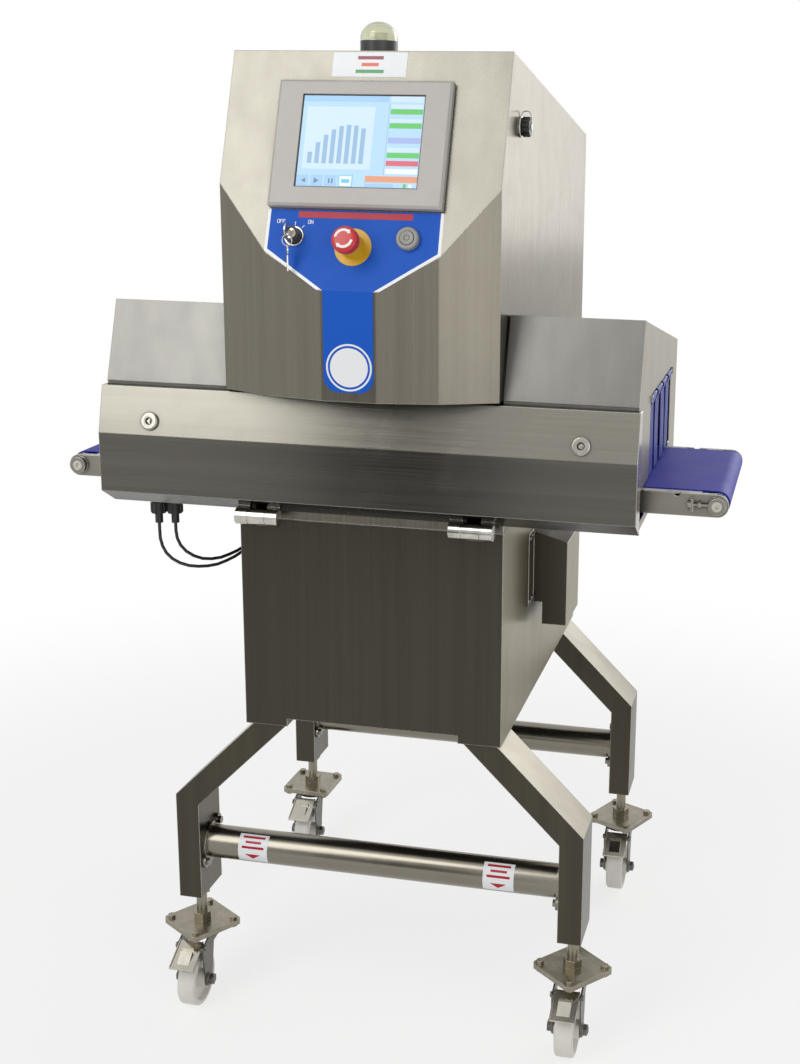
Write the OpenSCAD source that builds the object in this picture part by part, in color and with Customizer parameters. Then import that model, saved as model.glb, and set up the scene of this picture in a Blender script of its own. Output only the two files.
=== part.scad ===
// Food x-ray inspection machine on four braked swivel castors.
// Machine datum: x across the conveyor from the head's middle, y to the rear from the
// head's front corners, z up from the floor. placed() moves it to the origin below the middle.

/* [Castors] */
// Radius of a castor wheel
wheel_r = 50; // [42:0.5:60]
// Width of a castor wheel's tread
wheel_w = 34; // [30:1:42]
// Room above the wheel up to the top of the castor's own plate
caster_room = 45.5; // [43:0.5:56]
// Side of the square adapter plate
plate_w = 105; // [98:1:120]
// Thickness of the adapter plate
plate_t = 6; // [4:0.5:10]
// Distance that the wheel trails behind the swivel axis
trail = 38; // [34:1:42]
// Length of stud that shows between plate and leg
stud_show = 68; // [50:1:90]

/* [Legs] */
// Width of a leg across the machine
leg_w = 43; // [36:1:56]
// Depth of a leg
leg_d = 92; // [84:1:110]
// Height of the upright part of a leg
leg_straight = 204; // [190:1:260]
// Height of the slanted part, which leans at 45 degrees
leg_rise = 159; // [120:1:200]
// Wall of the legs
leg_wall = 3; // [2:0.5:5]
// Diameter of the two fork tubes
tube_d = 60.3; // [48:0.1:64]
// Height of the fork tubes above the leg's foot
tube_h = 95; // [60:1:110]

/* [Cabinet] */
// Width of the lower cabinet
cab_w = 460; // [440:1:520]
// Depth of the lower cabinet
cab_d = 720; // [680:1:800]
// Height of the lower cabinet
cab_h = 377; // [340:1:420]
// Sheet thickness of all housings
sheet = 2.5; // [1.5:0.5:4]

/* [Tunnel] */
// Half of the tunnel's length along the belt
tunnel_half = 451; // [400:1:520]
// Height of the hood's ridge above the tunnel floor
ridge_h = 343; // [310:1:380]
// Height of the hood's rear edge above the tunnel floor
hood_rear_h = 246; // [235:1:280]
// Height of the product opening above the belt
opening_h = 145; // [110:1:150]
// Width of the product opening
opening_w = 315; // [280:1:340]
// Curtain strips at each end
strip_n = 4; // [4:1:4]
// Width of one curtain strip
strip_w = 50; // [30:1:60]

/* [Conveyor] */
// Width of the belt
belt_w = 320; // [280:1:330]
// Height of the belt's carrying face above the tunnel floor
belt_h = 61; // [56:1:70]
// Radius of the drive drum and the tail roller
roller_r = 17.7; // [15:0.1:19]
// Belt thickness
belt_t = 2; // [1:0.5:3]
// Distance from the head's middle to the drive drum
drive_x = 555; // [520:1:640]
// Distance from the head's middle to the tail roller
tail_x = 573; // [530:1:660]

/* [Head] */
// Depth of the head
head_d = 780; // [760:1:860]
// Height of the head's top edge above its underside
head_top_h = 539; // [500:1:600]
// Height of the head's rear top edge above its underside
head_rear_h = 414; // [380:1:460]
// Height at which the sloped face meets the head's side corners
fold_h = 332.5; // [320:0.5:345]
// How far the middle facet of the front stands out
bow_mid = 58.5; // [50:0.5:66]
// How far the outer creases of the front stand out
bow_side = 38.5; // [30:0.5:46]

/* [Controls] */
// Width of the display's bezel
bezel_w = 283; // [260:1:290]
// Height of the display's bezel
bezel_h = 205; // [196:1:210]
// Width of the lit screen
screen_w = 200; // [180:1:212]
// Diameter of the emergency stop's button
estop_d = 42; // [36:1:46]
// Travel of the emergency stop
estop_travel = 4; // [2:0.5:5]
// Diameter of the beacon
beacon_d = 60; // [50:1:70]

/* [Hidden] */
$fn = 64;

// Clearances, and one overrun for all cuts
over = 1;
run_gap = 0.06;     // radial, shaft in bore
slide_gap = 0.2;    // radial, button in its guide
free_gap = 0.4;     // between pieces that move past each other
bolt_gap = 0.3;     // radial, bolt in hole
seat_gap = 0.05;    // under the head of a bolt or nut

// Castors and their studs
top_plate_t = 4;
plate_round = 9;
bolt_edge = 11.5;
bolt_r = 4;
bolt_af = 13;
bolt_head_h = 5.5;
bolt_nut_h = 5;
bolt_tip = 1.5;
stud_r = 10;
stud_in = 22;
nut_af = 30;
nut_h = 16;
jam_h = 9;
washer_r = 19;
washer_t = 2;
race_r = 32;
race_h = 4;
kingpin_r = 8;
kingpin_head_r = 13;
kingpin_head_h = 5;
crown_t = 6;
crown_r = 35;
fork_t = 3;
fork_gap = 1;       // hub to fork plate
axle_r = 6;
axle_nut_af = 19;
axle_nut_h = 9;
axle_washer_r = 12;
axle_washer_t = 1.5;
axle_boss_r = 14;
hub_r = 17;
hub_extra = 6;      // hub stands out of the tread's side
tread_round = 5;
rim_in = 9;
web_t = 14;
pivot_r = 3;
pivot_head_r = 5;
pivot_head_h = 3;
ear_r = 8;
pedal_back = 14;    // pivot behind the wheel's middle
pedal_drop = 24;    // pivot below the adapter plate
pedal_hub_r = 6.5;
pedal_fall = 28;    // degrees below level
pedal_len = 54;
pedal_t = 2.5;
pedal_rim = 3;
pedal_rim_t = 2;
pedal_bar = 4;
shoe_l = 16;
shoe_air = 4.5;
turn_fl = 56;       // rotation of each adapter plate in degrees
turn_fr = 50;
turn_rl = 88;
turn_rr = 64;

// Legs and fork tubes
leg_inset = 13;
leg_setback = 12;
leg_rear_in = 2;
tube_wall = 3;
flange_r = 37;
flange_ear_r = 12;
flange_bolt_off = 40;
flange_t = 6;

// Cabinet
cab_front_y = 42;
foot_rail_w = 76;
foot_rail_h = 14;
door_border = 25;
door_gap = 3;
door_d = 12;
door_hinge_r = 6;
door_pin_r = 3;
door_hinge_l = 60;
door_hinge_in = 50;
door_leaf_t = 3;
door_handle_r = 12;
side_cover_w = 65;
side_cover_y = 292;
side_cover_d = 128;
side_cover_z = 141;
side_cover_h = 158;
side_cover_rise = 19;
side_notch_w = 20;
side_notch_h = 42;
side_flange_w = 42;
side_flange_h = 138;
screw_r = 5;
screw_h = 3;
screw_in = 8;
base_h = 17;

// Tunnel
tunnel_front_y = 18;
tunnel_rear_y = 575;
floor_front_y = 36;
front_edge_y = 20;
ridge_y = 64;
hood_foot_h = 211;
hood_return = 22;   // rim below the hood's front edge
hood_gap = 2.5;
front_flange_w = 20;
floor_lip = 32;
opening_y = 165;
slot_over = 5;
slot_under = 7;
rod_r = 3;
rod_drop = 7;
cheek_t = 3;
cheek_w = 10;
loop_r = 4.8;
strip_t = 2;
strip_air = 3;
striker_w = 116;
striker_z = 105;
striker_h = 80;
receptacle_r = 14;
receptacle_h = 6;
receptacle_room = 2.5;

// Access cover
cover_top_h = 205;
cover_crease_h = 127;
cover_low_h = 27;
cover_top_y = 6;
cover_face_y = -14;
cover_foot_y = 33;
cover_lip = 11;
cover_side = 4;
cover_cap_y = 29;
lock_in = 87;
lock_h = 150;
lock_ring_r = 15.5;
lock_ring_h = 6;
lock_body_r = 11;
lock_body_l = 14;
lock_nut_af = 26;
lock_nut_h = 5;
lock_insert_r = 8;
lock_insert_l = 11;
lock_socket_af = 9;
lock_socket_d = 4;
lock_stud_r = 4;
lock_stud_l = 36;
hinge_x = 184;
hinge_w = 74;
hinge_mid_w = 30;
hinge_y = 8;
hinge_drop = 6;
hinge_r = 14;
hinge_pin_r = 5;
hinge_web = 10;
hinge_arm_h = 16;
hinge_foot_t = 6;
hinge_foot_h = 25;

// Conveyor
conv_y = 100;
side_t = 4;
side_gap = 16;
side_drop = 40;
side_under = 2;
belt_air = 0.3;
bed_t = 4;
bed_in = 27;
bed_tip = 2;
bed_notch_w = [38, 18];
bed_notch_x = [66, 8];
bed_notch_d = 6;
roller_out = 8;
journal_r = 8;
bearing_r = 14.5;
bearing_h = 9;
shaft_hole_r = 4;
shaft_hole_d = 6;
cross_x = 290;
cross_w = 18;
cross_h = 12;
foot_l = 30;
foot_w = 20;
foot_up = 4;
adjust_h = 22;
adjust_w = 9;
adjust_rod_r = 3;
adjust_rod_l = 34;
adjust_nut_af = 10;
adjust_nut_h = 5;
plate_notch_r = 5;
detector_w = 70;
detector_h = 13;
detector_end = 20;

// Head
head_lift = 210;    // head's underside above the tunnel floor
lean = 0.37;        // run of the sloped face for one of rise
crease_out_x = 141;
crease_in_x = 45;
neck_gap = 3;
beam_w = 12;
beam_l = 300;
beam_y = 130;
display_h = 393;
display_t = 15;
display_bevel = 4;
screen_up = 3;
screen_drop = 3;
screen_share = 0.755;
screen_lip = 5;
module_back = 38;
controls_h = 254;
button_hole_r = 11;
button_gap = 0.5;
estop_x = 2;
estop_h = 240;
estop_plate_r = 30;
estop_plate_t = 2;
estop_collar_r = 19;
estop_neck_r = 14;
estop_collar_h = 22;
estop_head_h = 22;
estop_round = 8;
estop_stem_r = 7;
estop_gap = 1;
contact_w = 30;
contact_h = 42;
contact_neck = 14;
key_x = -96;
key_ring_r = 16;
key_ring_h = 3;
key_barrel_r = 12.5;
key_barrel_h = 16;
key_core_r = 8;
key_core_show = 1;
key_core_l = 30;
key_in = 9;
key_w = 8;
key_t = 2.2;
key_neck = 7;
key_bow_r = 11;
key_hole_r = 3.4;
key_hole_out = 5;
key_lap = 0.5;
ring_r = 8;
wire_r = 0.9;
spare_bow_r = 9;
spare_blade_w = 6;
spare_blade_l = 24;
spare_turn = 25;    // degrees
start_x = 90;
start_ring_r = 18;
start_ring_h = 11;
start_round = 3;
start_r = 11;
start_show = 1.5;
start_l = 8;
start_travel = 3;
port_y = 130;
port_h = 426;
port_flange_r = 17;
port_flange_h = 3;
port_neck_r = 11;
port_neck_h = 13;
cap_r = 14.5;
cap_air = 0.5;
cap_end = 3.5;
cap_rib_n = 12;
cap_rib_r = 1.4;
tether_r = 1;
tether_in = 3;
tether_out = 11;
beacon_y = 116;
beacon_base_h = 24;
beacon_wall = 2;
beacon_stem_r = 9;
beacon_stem_l = 16;
lamp_r = 13;
lamp_h = 12;
dome_h = 30;
dome_straight = 4;
generator_w = 300;
generator_d = 300;
generator_h = 240;
snout_w = 60;
snout_h = 24;
fin_n = 9;
fin_t = 3;
fin_h = 22;

// Control plate in the cabinet
panel_y = 250;      // behind the cabinet's front
panel_in = 40;
panel_t = 3;
panel_h = 330;
rail_h = 35;
rail_t = 8;
UNITS = [[-140, 120, 90, 60], [-10, 80, 110, 75], [95, 90, 130, 60]];
UNIT_Z = [70, 215];

// Connectors and cables under the inlet tunnel
CONNECTORS = [[-422, 130], [-394, 137]];
conn_flange_r = 14;
conn_flange_h = 4;
conn_body_r = 11;
conn_body_h = 22;
conn_nut_r = 13;
conn_nut_h = 20;
conn_rib_n = 10;
conn_rib_r = 1.5;
boot_r = 7;
boot_h = 18;
cable_r = 2.9;
cable_sides = 8;
gland_r = 6;
gland_nut_af = 15;
gland_nut_h = 5;
gland_l = 14;
FRONT_ROUTE = [[-422, 130, -64], [-422, 130, -79], [-422, 131, -94], [-420, 134, -109],
    [-415, 138, -123], [-406, 143, -135], [-394, 149, -144], [-380, 156, -150], [-366, 165, -153],
    [-352, 175, -154], [-338, 187, -153], [-326, 200, -149], [-315, 213, -144], [-305, 226, -137],
    [-296, 239, -130], [-288, 252, -123], [-281, 264, -117], [-275, 274, -113], [-268, 283, -110],
    [-259, 288, -108], [-252, 290, -107], [-244, 290, -107]];
REAR_ROUTE = [[-394, 137, -64], [-394, 137, -79], [-393, 139, -94], [-389, 143, -108],
    [-381, 149, -121], [-370, 157, -131], [-358, 167, -138], [-345, 179, -141], [-333, 192, -141],
    [-322, 206, -138], [-312, 220, -134], [-304, 234, -129], [-297, 248, -125], [-290, 262, -121],
    [-284, 276, -117], [-278, 288, -113], [-270, 299, -110], [-260, 306, -108], [-252, 308, -107],
    [-244, 308, -107]];

// Derived heights
caster_h = 2 * wheel_r + caster_room;
adapter_z = caster_h + plate_t;
leg_z = adapter_z + stud_show;
tube_z = leg_z + tube_h;
knee_z = leg_z + leg_straight;
cab_z = knee_z + leg_rise;
cab_floor_z = cab_z + foot_rail_h;
cab_top_z = cab_z + cab_h;
floor_z = cab_top_z + base_h;
belt_z = floor_z + belt_h;
head_z = floor_z + head_lift;
opening_z = belt_z + opening_h;
race_z = caster_h - top_plate_t;
crown_z = race_z - 2 * race_h - free_gap - crown_t;
roller_axis_z = belt_z - belt_t - belt_air - roller_r;
plate_low_z = belt_z - side_drop;
plate_top_z = belt_z - side_under;
bed_z = belt_z - belt_t - belt_air;
cover_hinge_z = floor_z - hinge_drop;

// Derived plan positions
fork_in = wheel_w / 2 + hub_extra + fork_gap;
pivot_y = -trail - pedal_back;
pivot_z = caster_h - pedal_drop;
leg_out_x = cab_w / 2 - leg_inset + leg_rise;
leg_in_x = leg_out_x - leg_w;
leg_front_y = cab_front_y + leg_setback;
cab_rear_y = cab_front_y + cab_d;
leg_rear_y = cab_rear_y - leg_rear_in - leg_d;
leg_mid_x = leg_out_x - leg_w / 2;
leg_mid_ys = [leg_front_y + leg_d / 2, leg_rear_y + leg_d / 2];
bolt_pitch = plate_w - 2 * bolt_edge;
head_w = cab_w;
lock_x = tunnel_half - lock_in;
hood_x = head_w / 2 + hood_gap;
belt_y = conv_y + side_t + side_gap;
conv_far_y = belt_y + belt_w + side_gap + side_t;
rod_x = tunnel_half - sheet / 2;
strip_pitch = opening_w / strip_n;
foot_x = (head_w / 2 + tunnel_half) / 2;
neck_y = tunnel_rear_y + neck_gap;
door_axis_x = -cab_w / 2 + door_hinge_r;
door_axis_y = cab_rear_y + free_gap + door_hinge_r;
door_x0 = -cab_w / 2 + 2 * door_hinge_r + free_gap;
door_x1 = cab_w / 2 - door_gap;
door_lock_x = door_x1 - sheet - free_gap - lock_insert_r - sheet / 2;
door_z0 = cab_floor_z + door_gap;
door_z1 = cab_top_z - door_gap;

// Slopes and the sheet profiles, as points across the machine's side view
slope_tilt = atan(lean);
top_y = lean * (head_top_h - fold_h);
roof_fall = (head_top_h - head_rear_h) / (head_d - top_y);
cover_pts = [[cover_top_y + cover_lip, floor_z + cover_top_h], [cover_top_y, floor_z + cover_top_h],
    [cover_face_y, floor_z + cover_crease_h], [cover_face_y, floor_z + cover_low_h],
    [cover_foot_y, floor_z]];
lock_tan = (cover_top_y - cover_face_y) / (cover_top_h - cover_crease_h);
lock_tilt = atan(lock_tan);
lock_z = floor_z + lock_h;
lock_y = cover_top_y - lock_tan * (cover_top_h - lock_h);
striker_hole_z = lock_z - lock_tan * (front_edge_y + sheet - lock_y);
hood_pts = [[floor_front_y, floor_z], [tunnel_rear_y, floor_z],
    [tunnel_rear_y, floor_z + hood_rear_h], [ridge_y, floor_z + ridge_h],
    [tunnel_front_y, floor_z + hood_foot_h]];
plan_pts = [[-head_w / 2, head_d], [-head_w / 2, 0], [-crease_out_x, -bow_side],
    [-crease_in_x, -bow_mid], [crease_in_x, -bow_mid], [crease_out_x, -bow_side],
    [head_w / 2, 0], [head_w / 2, head_d]];
bow_y = -bow_mid - over;
profile_pts = [[bow_y, head_z], [head_d, head_z], [head_d, head_z + head_rear_h],
    [top_y, head_z + head_top_h], [bow_y, head_z + fold_h + bow_y / lean]];
cav_w = screen_w + 2 * screen_lip;
screen_h = screen_w * screen_share;
cav_h = screen_h + 2 * screen_lip;

// The machine's depth runs from the emergency stop's front to the head, a rear plate or the door
estop_z0 = estop_plate_t + estop_collar_h + estop_gap + estop_travel;
estop_top = estop_z0 + estop_head_h;
front_y = lean * (estop_h - fold_h) - (estop_d / 2 - estop_round) * sin(slope_tilt)
    - (estop_top - estop_round) * cos(slope_tilt) - estop_round;
function plate_reach(turn) = plate_round + (plate_w / 2 - plate_round) * (abs(cos(turn)) + abs(sin(turn)));
rear_y = max(head_d, leg_mid_ys[1] + plate_reach(turn_rl), leg_mid_ys[1] + plate_reach(turn_rr),
    cab_rear_y + free_gap + door_d + lock_socket_d);
mid_x = (tail_x - drive_x) / 2;
mid_y = (rear_y + front_y) / 2;

// Colours
steel = "#a9a59b";
bright = "#d3d1cb";
dark = "#55524c";
black = "#1d1d1f";
nylon = "#e9ebe8";
blue = "#2b35a5";
white = "#f1f2f0";

// General shapes
module placed() translate([-mid_x, -mid_y, 0]) children();

module block(p, q) translate(p) cube(q - p);

module prism_x(pts, x0, x1) translate([x0, 0, 0]) rotate([90, 0, 90]) linear_extrude(x1 - x0) polygon(pts);

module prism_y(pts, y0, y1) translate([0, y1, 0]) rotate([90, 0, 0]) linear_extrude(y1 - y0) polygon(pts);

module prism_z(pts, z0, z1) translate([0, 0, z0]) linear_extrude(z1 - z0) polygon(pts);

module rod_along_x(r, x0, x1) translate([x0, 0, 0]) rotate([0, 90, 0]) cylinder(r = r, h = x1 - x0);

module rod_along_z(r, z0, z1) translate([0, 0, z0]) cylinder(r = r, h = z1 - z0);

module rod_along_y(r, y0, y1) translate([0, y1, 0]) rotate([90, 0, 0]) cylinder(r = r, h = y1 - y0);

module hex(af, h) cylinder(d = af / cos(30), h = h, $fn = 6);

module both_sides() for (s = [0, 1]) mirror([s, 0, 0]) children();

module on_slope(x, h) translate([x, lean * (h - fold_h), head_z + h])
    rotate([90 - slope_tilt, 0, 0]) children();

function unit(v) = v / norm(v);
function left(v) = [-v.y, v.x];

// A closed outline, counter-clockwise, drawn in by d
function inset(pts, d) = let (n = len(pts)) [for (i = [0 : n - 1])
    let (a = left(unit(pts[i] - pts[(i + n - 1) % n])), b = left(unit(pts[(i + 1) % n] - pts[i])))
    pts[i] + d * (a + b) / (1 + a * b)];

// A sheet of thickness t on the left of an open line of bends
function sheet_side(pts, i, t) = let (m = len(pts) - 1, j = max(i, 1), k = min(i + 1, m),
    a = left(unit(pts[j] - pts[j - 1])), b = left(unit(pts[k] - pts[k - 1])))
    pts[i] + t * (a + b) / (1 + a * b);
function band(pts, t) = concat(pts, [for (i = [len(pts) - 1 : -1 : 0]) sheet_side(pts, i, t)]);

// An arc's points from angle a0 to a1
function arc(c, r, a0, a1, n) = [for (i = [0 : n]) let (a = a0 + (a1 - a0) * i / n)
    c + r * [cos(a), sin(a)]];

function chamfered(w, h, c) = [[-w / 2, 0], [w / 2, 0], [w / 2, h - c], [w / 2 - c, h],
    [c - w / 2, h], [-w / 2, h - c]];

// A rounded square plate on its middle
module rounded_plate(w, r, h) linear_extrude(h) union() {
    square([w, w - 2 * r], center = true);
    square([w - 2 * r, w], center = true);
    for (x = [-1, 1]) for (y = [-1, 1]) translate([x, y] * (w / 2 - r)) circle(r);
}

// Cabinet
module cabinet_shell() placed() color(steel) difference() {
    union() {
        block([-cab_w / 2, cab_front_y, cab_floor_z], [cab_w / 2, cab_rear_y, cab_top_z]);
        both_sides() block([cab_w / 2 - foot_rail_w, cab_front_y, cab_z],
            [cab_w / 2, cab_rear_y, cab_floor_z + over]);
    }
    block([sheet - cab_w / 2, cab_front_y + sheet, cab_floor_z + sheet],
        [cab_w / 2 - sheet, cab_rear_y - sheet, cab_top_z - sheet]);
    both_sides() block([cab_w / 2 - foot_rail_w + sheet, cab_front_y + sheet, cab_z + sheet],
        [cab_w / 2 - sheet, cab_rear_y - sheet, cab_floor_z]);
    block([door_border - cab_w / 2, cab_rear_y - sheet - over, cab_floor_z + door_border],
        [cab_w / 2 - door_border, cab_rear_y + over, cab_top_z - door_border]);
    block([sheet + foot_rail_w - cab_w / 2, neck_y + sheet, cab_top_z - sheet - over],
        [cab_w / 2 - foot_rail_w - sheet, cab_rear_y - 2 * door_border, cab_top_z + over]);
    rear_lock_place() rod_along_y(lock_stud_r + receptacle_room, -door_d - 2 * sheet - over, 0);
    for (route = [FRONT_ROUTE, REAR_ROUTE]) translate([-cab_w / 2, last(route).y, floor_z + last(route).z])
        rod_along_x(cable_r + bolt_gap, -over, sheet + over);
}

function last(list) = list[len(list) - 1];

module rear_lock_place() translate([door_lock_x, cab_rear_y + free_gap + door_d,
    (door_z0 + door_z1) / 2]) children();

module door_hinge_places() for (z = [door_z0 + door_hinge_in, door_z1 - door_hinge_in - door_hinge_l])
    translate([door_axis_x, door_axis_y, z]) children();

module rear_door() placed() color(steel) {
    front = cab_rear_y + free_gap;
    difference() {
        block([door_x0, front, door_z0], [door_x1, front + door_d, door_z1]);
        block([door_x0 + sheet, front - over, door_z0 + sheet],
            [door_x1 - sheet, front + door_d - sheet, door_z1 - sheet]);
        rear_lock_place() rod_along_y(lock_insert_r + run_gap, -sheet - over, over);
    }
    door_hinge_places() difference() {
        union() {
            cylinder(r = door_hinge_r, h = door_hinge_l / 2 - free_gap);
            block([0, -door_leaf_t / 2, 0],
                [door_x0 + sheet / 2 - door_axis_x, door_leaf_t / 2, door_hinge_l / 2 - free_gap]);
        }
        translate([0, 0, -over]) cylinder(r = door_pin_r + run_gap, h = door_hinge_l);
    }
}

module rear_lock_rotor() placed() color(bright) rear_lock_place() difference() {
    union() {
        rod_along_y(lock_insert_r, -sheet, run_gap);
        rod_along_y(door_handle_r, run_gap, lock_socket_d);
        rod_along_y(lock_stud_r, -door_d - 2 * sheet, 0);
        rod_along_y(lock_insert_r + sheet / 2, -lock_insert_l + sheet, -sheet - run_gap);
    }
    translate([0, run_gap, 0]) rotate([-90, 0, 0]) hex(lock_socket_af, lock_socket_d + over);
}

module side_cover() placed() color(steel) {
    x0 = cab_w / 2;
    z0 = cab_z + side_cover_z;
    z1 = z0 + side_cover_h;
    y1 = side_cover_y + side_cover_d;
    outline = [[x0 + side_notch_w, z0], [x0 + side_cover_w, z0], [x0 + side_cover_w, z1],
        [x0, z1 + side_cover_rise], [x0, z0 + side_notch_h], [x0 + side_notch_w, z0 + side_notch_h]];
    hollow = [for (p = inset(outline, sheet)) [p.x < x0 + 2 * sheet ? x0 - over : p.x, p.y]];
    difference() {
        prism_y(outline, side_cover_y, y1);
        prism_y(hollow, side_cover_y + sheet, y1 - sheet);
    }
    flange_top = z0 + side_notch_h + side_flange_h;
    block([x0, side_cover_y - side_flange_w, z0 + side_notch_h + sheet],
        [x0 + sheet, side_cover_y + over, flange_top]);
    for (z = [z0 + side_notch_h + sheet + screw_in, flange_top - screw_in])
        for (y = [side_flange_w - screw_in, screw_in])
            translate([x0, side_cover_y - y, z]) rod_along_x(screw_r, 0, sheet + screw_h);
}

// One leg, for the side s of the machine, from the depth y
module leg(s, y) placed() color(steel) mirror([s < 0 ? 1 : 0, 0, 0]) {
    slant = leg_w * sqrt(2);
    outline = [[leg_in_x, leg_z], [leg_out_x, leg_z], [leg_out_x, knee_z],
        [leg_out_x - leg_rise, cab_z], [leg_out_x - leg_rise - slant, cab_z],
        [leg_in_x, knee_z + leg_w - slant]];
    difference() {
        union() {
            difference() {
                prism_y(outline, y, y + leg_d);
                prism_y(inset(outline, leg_wall), y + leg_wall, y + leg_d - leg_wall);
            }
            translate([leg_mid_x, y + leg_d / 2, leg_z]) cylinder(r = leg_w / 2 - leg_wall, h = stud_in);
        }
        translate([leg_mid_x, y + leg_d / 2, leg_z - over])
            cylinder(r = stud_r + run_gap, h = stud_in + 2 * over);
        translate([leg_in_x, y + leg_d / 2, tube_z]) flange_bolts()
            rod_along_x(bolt_r + bolt_gap, -over, leg_wall + over);
    }
}

module leg_front_left() leg(-1, leg_front_y);

module leg_front_right() leg(1, leg_front_y);

module leg_rear_left() leg(-1, leg_rear_y);

module leg_rear_right() leg(1, leg_rear_y);

module flange_bolts() for (s = [-1, 1]) translate([0, s, s] * flange_bolt_off / sqrt(2)) children();

// Fork tubes with their two-eared flanges and bolts
module fork_tubes() placed() color(bright) for (y = leg_mid_ys) translate([0, y, tube_z]) {
    difference() {
        union() {
            rod_along_x(tube_d / 2, -leg_in_x, leg_in_x);
            both_sides() translate([leg_in_x, 0, 0]) rod_along_x(flange_r, -flange_t, 0);
            both_sides() translate([leg_in_x, 0, 0]) flange_bolts() rod_along_x(flange_ear_r, -flange_t, 0);
        }
        rod_along_x(tube_d / 2 - tube_wall, -leg_in_x - over, leg_in_x + over);
        both_sides() translate([leg_in_x, 0, 0]) flange_bolts()
            rod_along_x(bolt_r + bolt_gap, -flange_t - over, over);
    }
    both_sides() translate([leg_in_x, 0, 0]) flange_bolts() {
        rod_along_x(bolt_r, -flange_t - over, leg_wall + bolt_nut_h + bolt_tip);
        translate([-flange_t - bolt_head_h - seat_gap, 0, 0]) rotate([0, 90, 0]) hex(bolt_af, bolt_head_h);
        translate([leg_wall + seat_gap, 0, 0]) rotate([0, 90, 0]) hex(bolt_af, bolt_nut_h);
    }
}

CORNERS = [[-1, leg_mid_ys[0], turn_fl], [1, leg_mid_ys[0], turn_fr],
    [-1, leg_mid_ys[1], turn_rl], [1, leg_mid_ys[1], turn_rr]];

module at_corner(i) placed() translate([CORNERS[i][0] * leg_mid_x, CORNERS[i][1], 0]) children();

module plate_corners() for (x = [-1, 1]) for (y = [-1, 1]) translate([x, y, 0] * bolt_pitch / 2) children();

// Adapter plate, stud, nuts, bolts, the castor's top plate and its kingpin
module caster_mount(turn) rotate(turn) {
    color(bright) difference() {
        translate([0, 0, caster_h]) rounded_plate(plate_w, plate_round, plate_t);
        plate_corners() rod_along_z(bolt_r + bolt_gap, caster_h - over, adapter_z + over);
        rod_along_z(stud_r + bolt_gap, caster_h - over, adapter_z + over);
    }
    color(dark) difference() {
        translate([0, 0, race_z]) rounded_plate(plate_w, plate_round, top_plate_t - seat_gap);
        plate_corners() rod_along_z(bolt_r + bolt_gap, race_z - over, caster_h + over);
    }
    color(bright) rod_along_z(race_r, race_z - race_h, race_z);
    color(dark) {
        rod_along_z(kingpin_r, crown_z - free_gap - over, race_z - race_h);
        rod_along_z(kingpin_head_r, crown_z - free_gap - kingpin_head_h, crown_z - free_gap);
    }
    color(bright) rod_along_z(stud_r, caster_h, leg_z + stud_in);
    color(bright) difference() {
        union() {
            translate([0, 0, adapter_z + seat_gap]) hex(nut_af, nut_h);
            translate([0, 0, leg_z - jam_h - washer_t - seat_gap]) hex(nut_af, jam_h);
            rod_along_z(washer_r, leg_z - washer_t, leg_z);
        }
        rod_along_z(stud_r + seat_gap, caster_h, leg_z + over);
    }
    color(bright) plate_corners() {
        rod_along_z(bolt_r, race_z - bolt_nut_h - bolt_tip, adapter_z + over);
        translate([0, 0, adapter_z + seat_gap]) hex(bolt_af, bolt_head_h);
        translate([0, 0, race_z - bolt_nut_h - seat_gap]) hex(bolt_af, bolt_nut_h);
    }
}

module caster_mounts() for (i = [0 : 3]) at_corner(i) caster_mount(CORNERS[i][2]);

// Fork with raceway, axle bolt and the pedal's pivot pin
module caster_fork(i) at_corner(i) {
    crown_top = crown_z + crown_t;
    cheek = fork_in + fork_t + seat_gap;
    cut = fork_in + fork_t + over;
    color(dark) difference() {
        union() {
            rod_along_z(crown_r, crown_z, crown_top);
            rod_along_z(race_r, crown_top, crown_top + race_h);
            both_sides() {
                prism_x([[-trail - axle_boss_r, wheel_r], [-trail + axle_boss_r, wheel_r],
                    [-trail / 3, crown_z - 2 * crown_t], [crown_r - crown_t, crown_z - crown_t],
                    [crown_r - crown_t, crown_top], [-crown_r, crown_top],
                    [pivot_y - ear_r, pivot_z + ear_r / 2], [pivot_y - ear_r, pivot_z - 2 * ear_r]],
                    fork_in, fork_in + fork_t);
                translate([0, -trail, wheel_r]) rod_along_x(axle_boss_r, fork_in, fork_in + fork_t);
            }
            block([-fork_in - fork_t / 2, -crown_r / 2, crown_z],
                [fork_in + fork_t / 2, crown_r / 2, crown_top]);
        }
        rod_along_z(kingpin_r + run_gap, crown_z - over, crown_top + race_h + over);
        translate([0, -trail, wheel_r]) rod_along_x(axle_r + run_gap, -cut, cut);
        translate([0, pivot_y, pivot_z]) rod_along_x(pivot_r + run_gap, -cut, cut);
    }
    color(bright) translate([0, -trail, wheel_r]) {
        rod_along_x(axle_r, -cheek, cheek + axle_nut_h + bolt_tip);
        both_sides() {
            rod_along_x(axle_washer_r, cheek, cheek + axle_washer_t);
            translate([cheek, 0, 0]) rotate([0, 90, 0]) hex(axle_nut_af, axle_nut_h);
        }
    }
    color(dark) translate([0, pivot_y, pivot_z]) {
        rod_along_x(pivot_r, -cheek, cheek);
        both_sides() rod_along_x(pivot_head_r, cheek, cheek + pivot_head_h);
    }
}

module caster_fork_front_left() caster_fork(0);

module caster_fork_front_right() caster_fork(1);

module caster_fork_rear_left() caster_fork(2);

module caster_fork_rear_right() caster_fork(3);

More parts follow.
